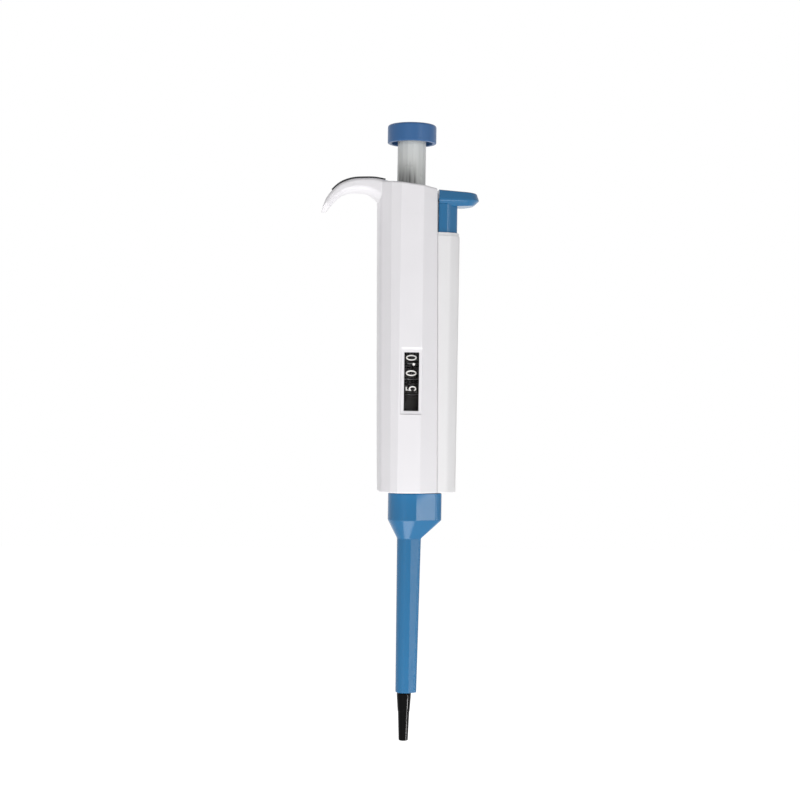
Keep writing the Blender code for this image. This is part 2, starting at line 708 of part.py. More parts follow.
def build_handle_fittings(carrier):
    """What the handle shell carries without moving: pad, lens, bush, spring housing and lock nut."""
    pad = piece("hook_pad", side_prism(pad_outline(), HOOK_PAD_HALF_WIDTH), DARK_ELASTOMER, carrier)
    round_edges(pad, GAP, 1)

    inner = -HANDLE_FRONT + HANDLE_WALL
    face = inner - WINDOW_REBATE + GAP
    half = WINDOW_HALF_WIDTH + WINDOW_LENS_MARGIN
    lens_low = (-half, face, WINDOW_LOW - WINDOW_LENS_MARGIN)
    lens_high = (half, face + WINDOW_LENS_THICKNESS, WINDOW_HIGH + WINDOW_LENS_MARGIN)
    piece("window_lens", block(lens_low, lens_high), CLEAR_PC, carrier)

    bush = ring(PLUNGER_RADIUS + GAP, BUSH_RADIUS, BUSH_TOP - BUSH_LENGTH, BUSH_TOP)
    piece("guide_bush", bush, BLACK_ACETAL, carrier)

    housing_bottom = PLATE_TOP + GAP
    housing_top = FRAME_BOTTOM - GAP
    bore = STOP_COLLAR_RADIUS + GAP
    flange = SPRING_HOUSING_RADIUS + BLOWOUT_PLATE_THICKNESS / 2
    profile = [
        (bore, housing_bottom),
        (SPRING_HOUSING_RADIUS, housing_bottom),
        (SPRING_HOUSING_RADIUS, housing_top - BLOWOUT_PLATE_THICKNESS),
        (flange, housing_top - BLOWOUT_PLATE_THICKNESS),
        (flange, housing_top),
        (bore, housing_top),
    ]
    piece("spring_housing", turned(profile), WHITE_ACETAL, carrier)

    nut_low = FLOOR_TOP + GAP
    inner_radius = TUBE_CUP_RADIUS + GAP
    outer_radius = CAVITY_RIGHT - GAP
    nut = piece("lock_nut", ring(inner_radius, outer_radius, nut_low, PLATE_TOP - GAP), BRASS, carrier)
    for side in range(6):
        angle = math.pi * (side + 0.5) / 3
        notch = block(
            (-NUT_NOTCH_WIDTH / 2, outer_radius - NUT_NOTCH_DEPTH, PLATE_TOP - NUT_NOTCH_LENGTH),
            (NUT_NOTCH_WIDTH / 2, outer_radius + NUT_NOTCH_DEPTH, PLATE_TOP),
        )
        bmesh.ops.rotate(notch, cent=(0, 0, 0), matrix=Matrix.Rotation(angle, 3, "Z"), verts=notch.verts)
        cut(nut, f"notch_{side}", notch)


def build_lower_housing(carrier):
    """The tube with its nozzle, and the seal pack that the piston runs through."""
    cup_bore = TUBE_CUP_RADIUS - TUBE_CUP_WALL
    counterbore = BORE_RADIUS + SPIGOT_WALL + GAP
    shoulder_low = SHOULDER_BOTTOM + SLEEVE_SHOULDER_LENGTH / 5
    shoulder_high = BLOCK_BOTTOM + SLEEVE_SHOULDER_LENGTH / 4
    profile = [
        (counterbore, TUBE_BOTTOM),
        (TUBE_RADIUS, TUBE_BOTTOM),
        (TUBE_RADIUS, shoulder_low),
        (TUBE_SHOULDER_RADIUS, shoulder_high),
        (TUBE_SHOULDER_RADIUS, HANDLE_BOTTOM + GAP),
        (TUBE_CUP_RADIUS, HANDLE_BOTTOM + GAP),
        (TUBE_CUP_RADIUS, PLATE_TOP),
        (cup_bore, PLATE_TOP),
        (cup_bore, LEDGE),
        (SPRING_CHAMBER_RADIUS, LEDGE),
        (SPRING_CHAMBER_RADIUS, SEAL_POCKET_FLOOR),
        (BORE_RADIUS, SEAL_POCKET_FLOOR),
        (BORE_RADIUS, CONE_LENGTH + SPIGOT_LENGTH + GAP),
        (counterbore, CONE_LENGTH + SPIGOT_LENGTH + GAP),
    ]
    piece("shaft_tube", turned(profile), BLACK_PVDF, carrier)

    ring_top = CONE_RING_HEIGHT + CONE_RING_WIDTH
    below_ring = CONE_RING_RADIUS - CONE_END_FILLET / 2
    chamber_floor = PISTON_END_REST - STROKE - GAP
    profile = [
        (AIR_CHANNEL_RADIUS, 0),
        (CONE_END_RADIUS - CONE_END_FILLET, 0),
        (CONE_END_RADIUS - CONE_END_FILLET * 0.3, CONE_END_FILLET * 0.3),
        (CONE_END_RADIUS, CONE_END_FILLET),
        (below_ring, CONE_RING_HEIGHT),
        (CONE_RING_RADIUS, CONE_RING_HEIGHT + CONE_END_FILLET),
        (CONE_RING_RADIUS, ring_top),
        (CONE_TOP_RADIUS, CONE_LENGTH - CONE_END_FILLET),
        (CONE_TOP_RADIUS, CONE_LENGTH),
        (BORE_RADIUS + SPIGOT_WALL, CONE_LENGTH),
        (BORE_RADIUS + SPIGOT_WALL, CONE_LENGTH + SPIGOT_LENGTH),
        (BORE_RADIUS, CONE_LENGTH + SPIGOT_LENGTH),
        (BORE_RADIUS, chamber_floor),
        (AIR_CHANNEL_RADIUS, chamber_floor - BORE_RADIUS),
    ]
    piece("tip_cone", turned(profile, segments=SMALL_SEGMENTS), BLACK_PVDF, carrier)

    outer = SPRING_CHAMBER_RADIUS - GAP
    seal = [
        (BORE_RADIUS, SEAL_BOTTOM),
        (outer, SEAL_BOTTOM),
        (outer, SEAL_BOTTOM + SEAL_HEIGHT),
        (outer - SEAL_LIP, SEAL_BOTTOM + SEAL_HEIGHT),
        (BORE_RADIUS + SEAL_LIP / 2, SEAL_BOTTOM + SEAL_LIP),
        (BORE_RADIUS + SEAL_LIP / 3, SEAL_BOTTOM + SEAL_HEIGHT),
        (BORE_RADIUS, SEAL_BOTTOM + SEAL_HEIGHT),
    ]
    piece("piston_seal", turned(seal, segments=SMALL_SEGMENTS), SEAL_PE, carrier)

    middle = (RING_BOTTOM + RING_MINOR_RADIUS, BORE_RADIUS + RING_MINOR_RADIUS)
    steps = 10
    section = []
    for step in range(steps):
        angle = 2 * math.pi * step / steps
        across = middle[1] + RING_MINOR_RADIUS * math.cos(angle)
        section.append((across, middle[0] + RING_MINOR_RADIUS * math.sin(angle)))
    piece("seal_o_ring", turned(section, segments=SMALL_SEGMENTS), DARK_ELASTOMER, carrier)

    spigot = PISTON_SPRING_RADIUS - PISTON_SPRING_WIRE / 2 - GAP
    retainer = [
        (BORE_RADIUS, RETAINER_BOTTOM),
        (outer, RETAINER_BOTTOM),
        (outer, RETAINER_TOP),
        (spigot, RETAINER_TOP),
        (spigot, RETAINER_TOP + RETAINER_WALL),
        (BORE_RADIUS, RETAINER_TOP + RETAINER_WALL),
    ]
    piece("seal_retainer", turned(retainer, segments=SMALL_SEGMENTS), BRASS, carrier)


def build_springs(carrier):
    spring = coil(
        PISTON_SPRING_RADIUS,
        PISTON_SPRING_WIRE,
        RETAINER_TOP + GAP,
        HEAD_BOTTOM - GAP,
        PISTON_SPRING_TURNS,
    )
    piece("piston_spring", spring, SPRING_STEEL, carrier)
    spring = coil(
        BLOWOUT_SPRING_RADIUS,
        BLOWOUT_SPRING_WIRE,
        LEDGE + GAP,
        PLATE_BOTTOM - GAP,
        BLOWOUT_SPRING_TURNS,
    )
    piece("blowout_spring", spring, SPRING_STEEL, carrier)
    spring = coil(
        EJECTOR_SPRING_RADIUS,
        EJECTOR_SPRING_WIRE,
        LEDGE_TOP + GAP,
        STEM_BOTTOM - GAP,
        EJECTOR_SPRING_TURNS,
        centre=(SPRING_CENTRE, 0),
    )
    piece("ejector_spring", spring, SPRING_STEEL, carrier)


def build_counter_frame(carrier):
    """A bracket with two plates: it holds the volume nut below and both wheels' pinion shaft behind."""
    outline = cavity_outline(FRAME_BOTTOM, GAP)
    frame = piece("counter_frame", prism(outline, FRAME_BOTTOM, FRAME_FLOOR_TOP), BLACK_ACETAL, carrier)
    join(frame, "roof", prism(outline, FRAME_ROOF_BOTTOM, FRAME_TOP))
    distance = DRUM_RADIUS + 2 * GAP + FRAME_POST_RADIUS
    for side in (-1, 1):
        centre = (side * distance * math.cos(FRAME_POST_ANGLE), distance * math.sin(FRAME_POST_ANGLE))
        post = cylinder(
            FRAME_POST_RADIUS,
            FRAME_FLOOR_TOP - FRAME_FLOOR,
            FRAME_ROOF_BOTTOM + FRAME_FLOOR,
            centre,
            SMALL_SEGMENTS // 2,
        )
        join(frame, f"post_{side}", post)
    cut(frame, "spindle_hole", cylinder(SPINDLE_CLEAR, FRAME_BOTTOM - GAP, NUT_BOTTOM))
    pocket = hexagon(NUT_ACROSS_FLATS + 2 * GAP)
    cut(frame, "nut_pocket", prism(pocket, NUT_BOTTOM - GAP, FRAME_FLOOR_TOP + GAP))
    roof_hole = SPINDLE_CLEAR + SPINDLE_KEY_RISE
    cut(frame, "roof_hole", cylinder(roof_hole, FRAME_ROOF_BOTTOM - GAP, FRAME_TOP + GAP))
    shaft_hole = cylinder(
        PINION_SHAFT_RADIUS + GAP,
        FRAME_BOTTOM + FRAME_FLOOR,
        FRAME_TOP + GAP,
        (0, PINION_AXIS),
        SMALL_SEGMENTS // 2,
    )
    cut(frame, "shaft_hole", shaft_hole)
    lens_back = -HANDLE_FRONT + HANDLE_WALL - WINDOW_REBATE + GAP + WINDOW_LENS_THICKNESS
    half = WINDOW_HALF_WIDTH + WINDOW_LENS_MARGIN + GAP
    relief_low = (-half, -HANDLE_FRONT, WINDOW_LOW - WINDOW_LENS_MARGIN - GAP)
    cut(frame, "lens_relief", block(relief_low, (half, lens_back + GAP, FRAME_TOP + GAP)))

    nut = piece("volume_nut", prism(hexagon(NUT_ACROSS_FLATS), NUT_BOTTOM, NUT_BOTTOM + NUT_HEIGHT), BRASS, carrier)
    cut(nut, "bore", cylinder(SPINDLE_CLEAR, FRAME_BOTTOM, FRAME_FLOOR_TOP + GAP))

    shaft = cylinder(
        PINION_SHAFT_RADIUS,
        FRAME_BOTTOM + FRAME_FLOOR + GAP,
        FRAME_TOP - GAP,
        (0, PINION_AXIS),
        SMALL_SEGMENTS // 2,
    )
    piece("pinion_shaft", shaft, STEEL, carrier)


def hexagon(across_flats):
    corner = across_flats / 2 / math.cos(math.pi / 6)
    turns = [math.pi * step / 3 for step in range(6)]
    return [(corner * math.cos(angle), corner * math.sin(angle)) for angle in turns]


def drum(centre, drop=DRUM_LENGTH / 2):
    """A number wheel's rim and web, without its bore."""
    low, high = centre - drop, centre + DRUM_LENGTH / 2
    profile = [
        (0, low),
        (DRUM_RADIUS - DRUM_CHAMFER, low),
        (DRUM_RADIUS, low + DRUM_CHAMFER),
        (DRUM_RADIUS, high - DRUM_CHAMFER),
        (DRUM_RADIUS - DRUM_CHAMFER, high),
        (0, high),
    ]
    return turned(profile)


def build_wheel(name, centre, carrier, geared):
    """A number wheel; a geared one has its ring of teeth on the upper side, where a carry pinion drives it."""
    wheel = piece(name, drum(centre), BLACK_ACETAL, carrier)
    top = centre + DRUM_LENGTH / 2
    if geared:
        teeth = prism(gear_outline(WHEEL_TEETH), top - GAP, top + WHEEL_SPACE - GAP)
        join(wheel, "teeth", teeth)
    bore = cylinder(SPINDLE_CLEAR, centre - WHEEL_PITCH, centre + WHEEL_PITCH)
    cut(wheel, "bore", bore)
    return wheel


def build_carry_pinion(name, lower_wheel_centre, carrier):
    """A small pinion between two wheels, half a tooth round from the wheel's tooth that it meets."""
    low = lower_wheel_centre + DRUM_LENGTH / 2 + GAP
    centre = (0, PINION_AXIS)
    outline = gear_outline(PINION_TEETH, centre, math.pi / PINION_TEETH)
    pinion = piece(name, prism(outline, low, low + WHEEL_SPACE - 2 * GAP), WHITE_ACETAL, carrier)
    hole = PINION_SHAFT_RADIUS + GAP
    cut(pinion, "bore", cylinder(hole, low - GAP, low + WHEEL_SPACE, centre, SMALL_SEGMENTS // 2))


def build_adjuster(carrier):
    """What turns when the volume is set: the hub, the spindle in its nut and the first number wheel."""
    bore = PLUNGER_RADIUS + GAP
    floor_top = HUB_BOTTOM + HUB_FLOOR
    profile = [
        (SPINDLE_CLEAR, HUB_BOTTOM),
        (bore + HUB_WALL, HUB_BOTTOM),
        (bore + HUB_WALL, HUB_TOP),
        (bore, HUB_TOP),
        (bore, floor_top),
        (SPINDLE_CLEAR, floor_top),
    ]
    hub = piece("drive_hub", turned(profile), WHITE_ACETAL, carrier)
    for side in (-1, 1):
        near, far = sorted((side * (bore - HUB_RIB_RISE), side * (bore + HUB_WALL / 2)))
        rib = block((near, -HUB_RIB_HALF_WIDTH, floor_top - GAP), (far, HUB_RIB_HALF_WIDTH, HUB_TOP - GAP))
        join(hub, f"rib_{side}", rib)
    keyway = (0, -SPINDLE_KEY_HALF_WIDTH - GAP, HUB_BOTTOM - GAP)
    key_reach = SPINDLE_RADIUS + SPINDLE_KEY_RISE
    key_clear = (key_reach + GAP, SPINDLE_KEY_HALF_WIDTH + GAP, floor_top + GAP)
    cut(hub, "keyway", block(keyway, key_clear))

    spindle = ring(ROD_RADIUS + GAP, SPINDLE_RADIUS, SPINDLE_BOTTOM, floor_top - GAP)
    spindle = piece("volume_spindle", spindle, STEEL, carrier)
    key_bottom = TENTHS_CENTRE - DRUM_LENGTH / 2 + GAP
    key_start = (ROD_RADIUS + 2 * GAP, -SPINDLE_KEY_HALF_WIDTH, key_bottom)
    join(spindle, "key", block(key_start, (key_reach, SPINDLE_KEY_HALF_WIDTH, floor_top - 2 * GAP)))

    wheel = build_wheel("tenths_wheel", TENTHS_CENTRE, carrier, geared=False)
    keyway = (0, -SPINDLE_KEY_HALF_WIDTH - GAP, TENTHS_CENTRE - DRUM_LENGTH)
    cut(wheel, "keyway", block(keyway, (*key_clear[:2], TENTHS_CENTRE + DRUM_LENGTH)))


def button_profile():
    """The push button's half section: a domed top, a filleted rim and a recess round the sleeve."""
    socket = PLUNGER_RADIUS + GAP
    recess = BUTTON_RADIUS - BUTTON_RIM
    profile = [
        (0, PLUNGER_TOP + GAP),
        (socket, PLUNGER_TOP + GAP),
        (socket, BUTTON_BOTTOM + BUTTON_RECESS),
        (recess, BUTTON_BOTTOM + BUTTON_RECESS),
        (recess, BUTTON_BOTTOM),
        (BUTTON_RADIUS - BUTTON_FILLET / 3, BUTTON_BOTTOM),
        (BUTTON_RADIUS, BUTTON_BOTTOM + BUTTON_FILLET / 3),
    ]
    rim = BUTTON_TOP - BUTTON_DOME - BUTTON_FILLET
    steps = 3
    for step in range(steps + 1):
        angle = math.pi / 2 * step / steps
        across = BUTTON_RADIUS - BUTTON_FILLET + BUTTON_FILLET * math.cos(angle)
        profile.append((across, rim + BUTTON_FILLET * math.sin(angle)))
    inner = BUTTON_RADIUS - BUTTON_FILLET
    for step in range(1, steps + 1):
        share = step / steps
        across = inner * (1 - share)
        profile.append((across, BUTTON_TOP - BUTTON_DOME * (across / inner) ** 2))
    return profile


def build_plunger(carrier):
    """What the thumb pushes: button, sleeve, operating rod and the collar that sets both stops."""
    piece("push_button", turned(button_profile()), BLUE_ABS, carrier)

    inside = PLUNGER_RADIUS - PLUNGER_WALL
    roof = PLUNGER_TOP - BUTTON_SOCKET
    rod_hole = ROD_RADIUS + GAP
    profile = [
        (inside, PLUNGER_BOTTOM),
        (PLUNGER_RADIUS, PLUNGER_BOTTOM),
        (PLUNGER_RADIUS, PLUNGER_TOP),
        (rod_hole, PLUNGER_TOP),
        (rod_hole, roof),
        (inside, roof),
    ]
    sleeve = piece("plunger_sleeve", turned(profile), GREY_ABS, carrier)
    groove_top = HUB_TOP + STROKE + GAP
    for side in (-1, 1):
        near = side * (PLUNGER_RADIUS - HUB_RIB_RISE)
        far = side * (PLUNGER_RADIUS + PLUNGER_WALL)
        near, far = sorted((near, far))
        half = HUB_RIB_HALF_WIDTH + GAP
        cut(sleeve, f"groove_{side}", block((near, -half, PLUNGER_BOTTOM - GAP), (far, half, groove_top)))

    rod = cylinder(ROD_RADIUS, COLLAR_BOTTOM, PLUNGER_TOP - GAP, segments=SMALL_SEGMENTS)
    piece("operating_rod", rod, STEEL, carrier)
    collar = ring(rod_hole, STOP_COLLAR_RADIUS, COLLAR_BOTTOM, COLLAR_TOP, SMALL_SEGMENTS)
    piece("stop_collar", collar, BRASS, carrier)


def build_piston(carrier):
    end = HEAD_TOP - 2 * GAP
    profile = [
        (0, PISTON_END_REST),
        (PISTON_RADIUS - PISTON_CHAMFER, PISTON_END_REST),
        (PISTON_RADIUS, PISTON_END_REST + PISTON_CHAMFER),
        (PISTON_RADIUS, end - PISTON_CHAMFER),
        (PISTON_RADIUS - PISTON_CHAMFER, end),
        (0, end),
    ]
    piece("piston", turned(profile, segments=SMALL_SEGMENTS), STEEL, carrier)
    spigot = PISTON_SPRING_RADIUS - PISTON_SPRING_WIRE / 2 - GAP
    head = [
        (0, HEAD_TOP),
        (PISTON_HEAD_RADIUS - PISTON_CHAMFER, HEAD_TOP),
        (PISTON_HEAD_RADIUS, HEAD_TOP - PISTON_CHAMFER),
        (PISTON_HEAD_RADIUS, HEAD_BOTTOM),
        (spigot, HEAD_BOTTOM),
        (spigot, HEAD_BOTTOM - RETAINER_WALL),
        (BORE_RADIUS, HEAD_BOTTOM - RETAINER_WALL),
        (BORE_RADIUS, HEAD_TOP - GAP),
        (0, HEAD_TOP - GAP),
    ]
    piece("piston_head", turned(head, segments=SMALL_SEGMENTS), WHITE_ACETAL, carrier)


def build_blowout_plate(carrier):
    outer = TUBE_CUP_RADIUS - TUBE_CUP_WALL - GAP
    plate = ring(BLOWOUT_PLATE_HOLE, outer, PLATE_BOTTOM, PLATE_TOP, SMALL_SEGMENTS)
    piece("blowout_plate", plate, STEEL, carrier)


def sleeve_corners(radius, reach, half_width):
    """A round sleeve in plan with a nose to the right, whose flanks meet the round at a clear edge."""
    start = math.radians(67)
    steps = 14
    points = []
    for step in range(steps + 1):
        angle = start + (2 * math.pi - 2 * start) * step / steps
        points.append((radius * math.cos(angle), radius * math.sin(angle)))
    nose = min(half_width, reach - radius / 2)
    corner = (reach, -half_width + nose * 0.25)
    points += [
        (reach - nose * 0.45, -half_width),
        (reach - nose * 0.15, -half_width + nose * 0.1),
        corner,
        (corner[0], -corner[1]),
        (reach - nose * 0.15, half_width - nose * 0.1),
        (reach - nose * 0.45, half_width),
    ]
    return points


def build_ejector(carrier):
    """What the ejector button pushes down: the button, the flat rod and the sleeve round the nozzle tube."""
    bore = TUBE_RADIUS + GAP
    stem_low = (bore + SLEEVE_STEM_WALL, SLEEVE_RIB_REACH, SLEEVE_RIB_HALF_WIDTH)
    stem_high = (bore + SLEEVE_STEM_WALL_TOP, SLEEVE_RIB_REACH_TOP, SLEEVE_RIB_HALF_WIDTH)
    block_size = (SLEEVE_BLOCK_RADIUS, SLEEVE_NOSE_REACH, SLEEVE_NOSE_HALF_WIDTH)
    neck = (SLEEVE_BLOCK_RADIUS - EDGE_FILLET, SLEEVE_NOSE_REACH - 2 * EDGE_FILLET, SLEEVE_NOSE_HALF_WIDTH - EDGE_FILLET)
    foot = [size - SLEEVE_FOOT_STEP for size in stem_low]
    stations = [
        (SLEEVE_BOTTOM, foot),
        (SLEEVE_BOTTOM + SLEEVE_FOOT_HEIGHT, foot),
        (SLEEVE_BOTTOM + SLEEVE_FOOT_HEIGHT + SLEEVE_FOOT_STEP, stem_low),
        (SHOULDER_BOTTOM, stem_high),
        (BLOCK_BOTTOM - EDGE_FILLET / 2, neck),
        (BLOCK_BOTTOM + EDGE_FILLET / 2, block_size),
        (BLOCK_TOP - EDGE_FILLET / 2, block_size),
        (BLOCK_TOP, [size - EDGE_FILLET / 2 for size in block_size]),
    ]
    rings = [[(x, y, height) for x, y in sleeve_corners(*size)] for height, size in stations]
    sleeve = piece("ejector_sleeve", loft(rings), BLUE_ABS, carrier)
    wide = TUBE_SHOULDER_RADIUS + GAP
    inside = [
        (0, SLEEVE_BOTTOM - GAP),
        (bore, SLEEVE_BOTTOM - GAP),
        (bore, SHOULDER_BOTTOM + SLEEVE_SHOULDER_LENGTH / 8),
        (wide, BLOCK_BOTTOM + SLEEVE_SHOULDER_LENGTH / 8),
        (wide, BLOCK_TOP + GAP),
        (0, BLOCK_TOP + GAP),
    ]
    cut(sleeve, "bore", turned(inside))
    socket_floor = BLOCK_TOP - SLEEVE_SOCKET_DEPTH
    socket_low = (EJECTOR_ROD_LEFT - GAP, -SLOT_HALF_DEPTH, socket_floor)
    cut(sleeve, "rod_socket", block(socket_low, (ROD_RIGHT + GAP, SLOT_HALF_DEPTH, BLOCK_TOP + GAP)))

    rod_low = (EJECTOR_ROD_LEFT, -EJECTOR_ROD_HALF_DEPTH, socket_floor + GAP)
    rod = piece("ejector_rod", block(rod_low, (ROD_RIGHT, EJECTOR_ROD_HALF_DEPTH, ROD_TOP)), STEEL, carrier)
    round_edges(rod, GAP, 1)
    build_ejector_button(carrier)


def cover_corners(height, left, inset=0.0, reach_cut=0.0):
    """The ejector cover's plan: flat cheeks beside the handle and a rounded nose."""
    share = (height - HANDLE_BOTTOM) / (COVER_TOP - HANDLE_BOTTOM)
    reach = COVER_REACH_BOTTOM + (COVER_REACH_TOP - COVER_REACH_BOTTOM) * share - inset - reach_cut
    half = COVER_HALF_WIDTH - inset
    nose = COVER_NOSE_HALF_WIDTH - inset / 2
    flat = COVER_FLAT_REACH - inset / 2
    round_nose = COVER_NOSE_ROUND - inset / 2
    return [
        (left, -half, GAP),
        (flat, -half, COVER_EDGE_ROUND),
        (reach, -nose, round_nose),
        (reach, nose, round_nose),
        (flat, half, COVER_EDGE_ROUND),
        (left, half, GAP),
    ]


def cover_ring(height, inset=0.0, left=None):
    if left is None:
        left = handle_right(height) + GAP
    return [(x, y, height) for x, y in rounded_outline(cover_corners(height, left, inset))]


def build_ejector_cover(carrier):
    """A channel-shaped cover on the handle's right side; the rod and its return spring run inside."""
    rings = [
        cover_ring(HANDLE_BOTTOM, EDGE_FILLET / 2, handle_right(HANDLE_BOTTOM) + GAP),
        cover_ring(HANDLE_BOTTOM + EDGE_FILLET / 2),
        cover_ring(COVER_TOP - EDGE_FILLET / 4),
        cover_ring(COVER_TOP, EDGE_FILLET / 4, handle_right(COVER_TOP) + GAP),
    ]
    cover = piece("ejector_cover", loft(rings), WHITE_ABS, carrier)
    open_side = EJECTOR_ROD_LEFT - GAP
    lower = [HANDLE_BOTTOM + COVER_FLOOR, LEDGE_TOP - COVER_FLOOR]
    upper = [LEDGE_TOP, COVER_TOP + GAP]
    for label, heights in (("lower_room", lower), ("upper_room", upper)):
        cut(cover, label, loft([cover_ring(height, COVER_WALL, open_side) for height in heights]))
    passage = (open_side, -SLOT_HALF_DEPTH, HANDLE_BOTTOM - GAP)
    cut(cover, "rod_passage", block(passage, (ROD_RIGHT + GAP, SLOT_HALF_DEPTH, COVER_TOP)))


def arc_shy(aside, half_width, radius):
    """How far a corner of this radius falls short of its square one, at a distance from the middle."""
    past = min(max(abs(aside) - (half_width - radius), 0), radius)
    return radius - math.sqrt(radius**2 - past**2)


def thumb_ring(aside):
    """One slice of the thumb plate: its free end is rounded in plan and its edges are filleted."""
    left = handle_right(COVER_TOP - EJECTOR_TRAVEL) + GAP
    bottom = COVER_TOP + EJECTOR_TRAVEL + GAP / 2
    reach = THUMB_REACH - arc_shy(aside, THUMB_HALF_WIDTH, THUMB_END_ROUND)
    inset = arc_shy(aside, THUMB_HALF_WIDTH, THUMB_EDGE)
    top = handle_top(left)
    end_top = top - THUMB_DROP * (reach - left) / (THUMB_REACH - left)
    foot = COVER_REACH_TOP - THUMB_END_THICKNESS / 2
    corners = [
        (left, bottom, THUMB_EDGE / 2),
        (foot, bottom, THUMB_EDGE),
        (reach, end_top - THUMB_END_THICKNESS, THUMB_EDGE * 1.4),
        (reach, end_top, THUMB_EDGE * 1.1),
        (left, top, THUMB_EDGE / 2),
    ]
    return [(x, aside, z) for x, z in rounded_outline(corners, inset)]


def build_ejector_button(carrier):
    """A thumb plate on a stem that slides in the cover, with a post that centres the return spring."""
    steps = 7
    angles = [math.pi / 2 * (step / steps - 1) for step in range(2 * steps + 1)]
    slices = [thumb_ring(THUMB_HALF_WIDTH * math.sin(angle)) for angle in angles]
    button = piece("ejector_button", loft(slices), BLUE_ABS, carrier)

    stem_reach = COVER_WALL + GAP
    stem_left = handle_right(STEM_BOTTOM - EJECTOR_TRAVEL) + GAP
    stem = []
    for height in (STEM_BOTTOM, COVER_TOP + EJECTOR_TRAVEL + THUMB_EDGE):
        outline = rounded_outline(cover_corners(COVER_TOP, stem_left, stem_reach))
        stem.append([(x, y, height) for x, y in outline])
    join(button, "stem", loft(stem))
    post_low = STEM_BOTTOM - SPRING_POST_LENGTH
    post = cylinder(SPRING_POST_RADIUS, post_low, STEM_BOTTOM + GAP, (SPRING_CENTRE, 0), SMALL_SEGMENTS)
    join(button, "post", post)
    pocket_low = (EJECTOR_ROD_LEFT - GAP, -SLOT_HALF_DEPTH, STEM_BOTTOM - GAP)
    cut(button, "rod_pocket", block(pocket_low, (ROD_RIGHT + GAP, SLOT_HALF_DEPTH, ROD_TOP + GAP)))


def build():
    clear_scene()
    handle = body("handle")
    build_handle_shell(handle)
    build_handle_fittings(handle)
    build_lower_housing(handle)
    build_springs(handle)
    build_counter_frame(handle)
    build_ejector_cover(handle)

    blank = piece("blank_wheel", drum(BLANK_CENTRE, BLANK_DRUM_DROP), BLACK_ACETAL, handle)
    cut(blank, "bore", cylinder(SPINDLE_CLEAR, FRAME_BOTTOM, TENS_CENTRE))

    adjuster = body("adjuster", handle, (0, 0, HUB_BOTTOM))
    build_adjuster(adjuster)
    plunger = body("plunger", adjuster, (0, 0, PLUNGER_BOTTOM))
    build_plunger(plunger)
    build_piston(body("piston_slide", handle, (0, 0, PISTON_END_REST)))
    build_blowout_plate(body("blowout_slide", handle, (0, 0, PLATE_BOTTOM)))

    units = body("units_counter", handle, (0, 0, UNITS_CENTRE))
    build_wheel("units_wheel", UNITS_CENTRE, units, geared=True)
    tens = body("tens_counter", handle, (0, 0, TENS_CENTRE))
    build_wheel("tens_wheel", TENS_CENTRE, tens, geared=True)
    upper = body("carry_upper", handle, (0, PINION_AXIS, UNITS_CENTRE + WHEEL_PITCH / 2))
    build_carry_pinion("carry_pinion_upper", UNITS_CENTRE, upper)
    lower = body("carry_lower", handle, (0, PINION_AXIS, TENS_CENTRE + WHEEL_PITCH / 2))
    build_carry_pinion("carry_pinion_lower", TENS_CENTRE, lower)

    ejector = body("ejector", handle, (ROD_CENTRE, 0, BLOCK_TOP))
    build_ejector(ejector)


build()
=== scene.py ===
# %% [markdown]
# # A single-channel pipette
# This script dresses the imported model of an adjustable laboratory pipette. The construction, with its
# joints, is fixed already: it is loaded as a frame of plain solids. Here each piece that shows gets its
# finished shape and its material, and the scene gets a camera, a floor and light.
# Lengths are metres, +Z is up, the counter window faces -Y and the finger hook points to -X.

# %% Load the frame
import math

import bmesh
import bpy
from mathutils import Matrix, Vector


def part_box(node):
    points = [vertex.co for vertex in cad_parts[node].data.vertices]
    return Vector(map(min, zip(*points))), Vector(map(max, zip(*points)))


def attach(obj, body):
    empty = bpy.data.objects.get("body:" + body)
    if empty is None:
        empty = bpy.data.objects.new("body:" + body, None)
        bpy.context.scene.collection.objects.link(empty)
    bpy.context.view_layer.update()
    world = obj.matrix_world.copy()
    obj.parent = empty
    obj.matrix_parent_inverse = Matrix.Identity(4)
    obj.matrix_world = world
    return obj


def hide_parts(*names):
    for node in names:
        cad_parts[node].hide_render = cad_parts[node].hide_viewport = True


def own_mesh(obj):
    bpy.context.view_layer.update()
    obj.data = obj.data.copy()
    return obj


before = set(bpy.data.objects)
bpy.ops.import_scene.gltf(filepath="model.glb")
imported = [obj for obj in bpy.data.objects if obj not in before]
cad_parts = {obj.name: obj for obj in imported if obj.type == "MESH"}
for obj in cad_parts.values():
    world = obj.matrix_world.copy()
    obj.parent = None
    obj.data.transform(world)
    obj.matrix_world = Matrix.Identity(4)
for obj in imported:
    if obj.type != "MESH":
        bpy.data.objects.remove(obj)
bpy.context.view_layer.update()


def mm(value):
    """Millimetres, as metres."""
    return value / 1000


def scene_object(name, data):
    """A new object in the scene."""
    obj = bpy.data.objects.new(name, data)
    bpy.context.scene.collection.objects.link(obj)
    return obj


# Cuts reach this far past a face, so that no two faces fall together.
GAP = mm(0.3)

# %% [markdown]
# ## Camera
# The photograph is taken from far off, a little above the middle of the pipette. The push button shows its
# underside and the shoulder of the sleeve its rounded lower edge, so the horizon lies half way up the
# picture. The camera stands level, turned 5.5 degrees towards the hook, and is rolled by 0.85 degrees.

# %% Camera
PICTURE_WIDTH = 800
FOCAL_PIXELS = 1600.0
CAMERA_DISTANCE = 0.625
CAMERA_HEIGHT = 0.1328
CAMERA_AZIMUTH = math.radians(-5.5)
CAMERA_ROLL = math.radians(0.85)
CAMERA_ASIDE = -0.0032

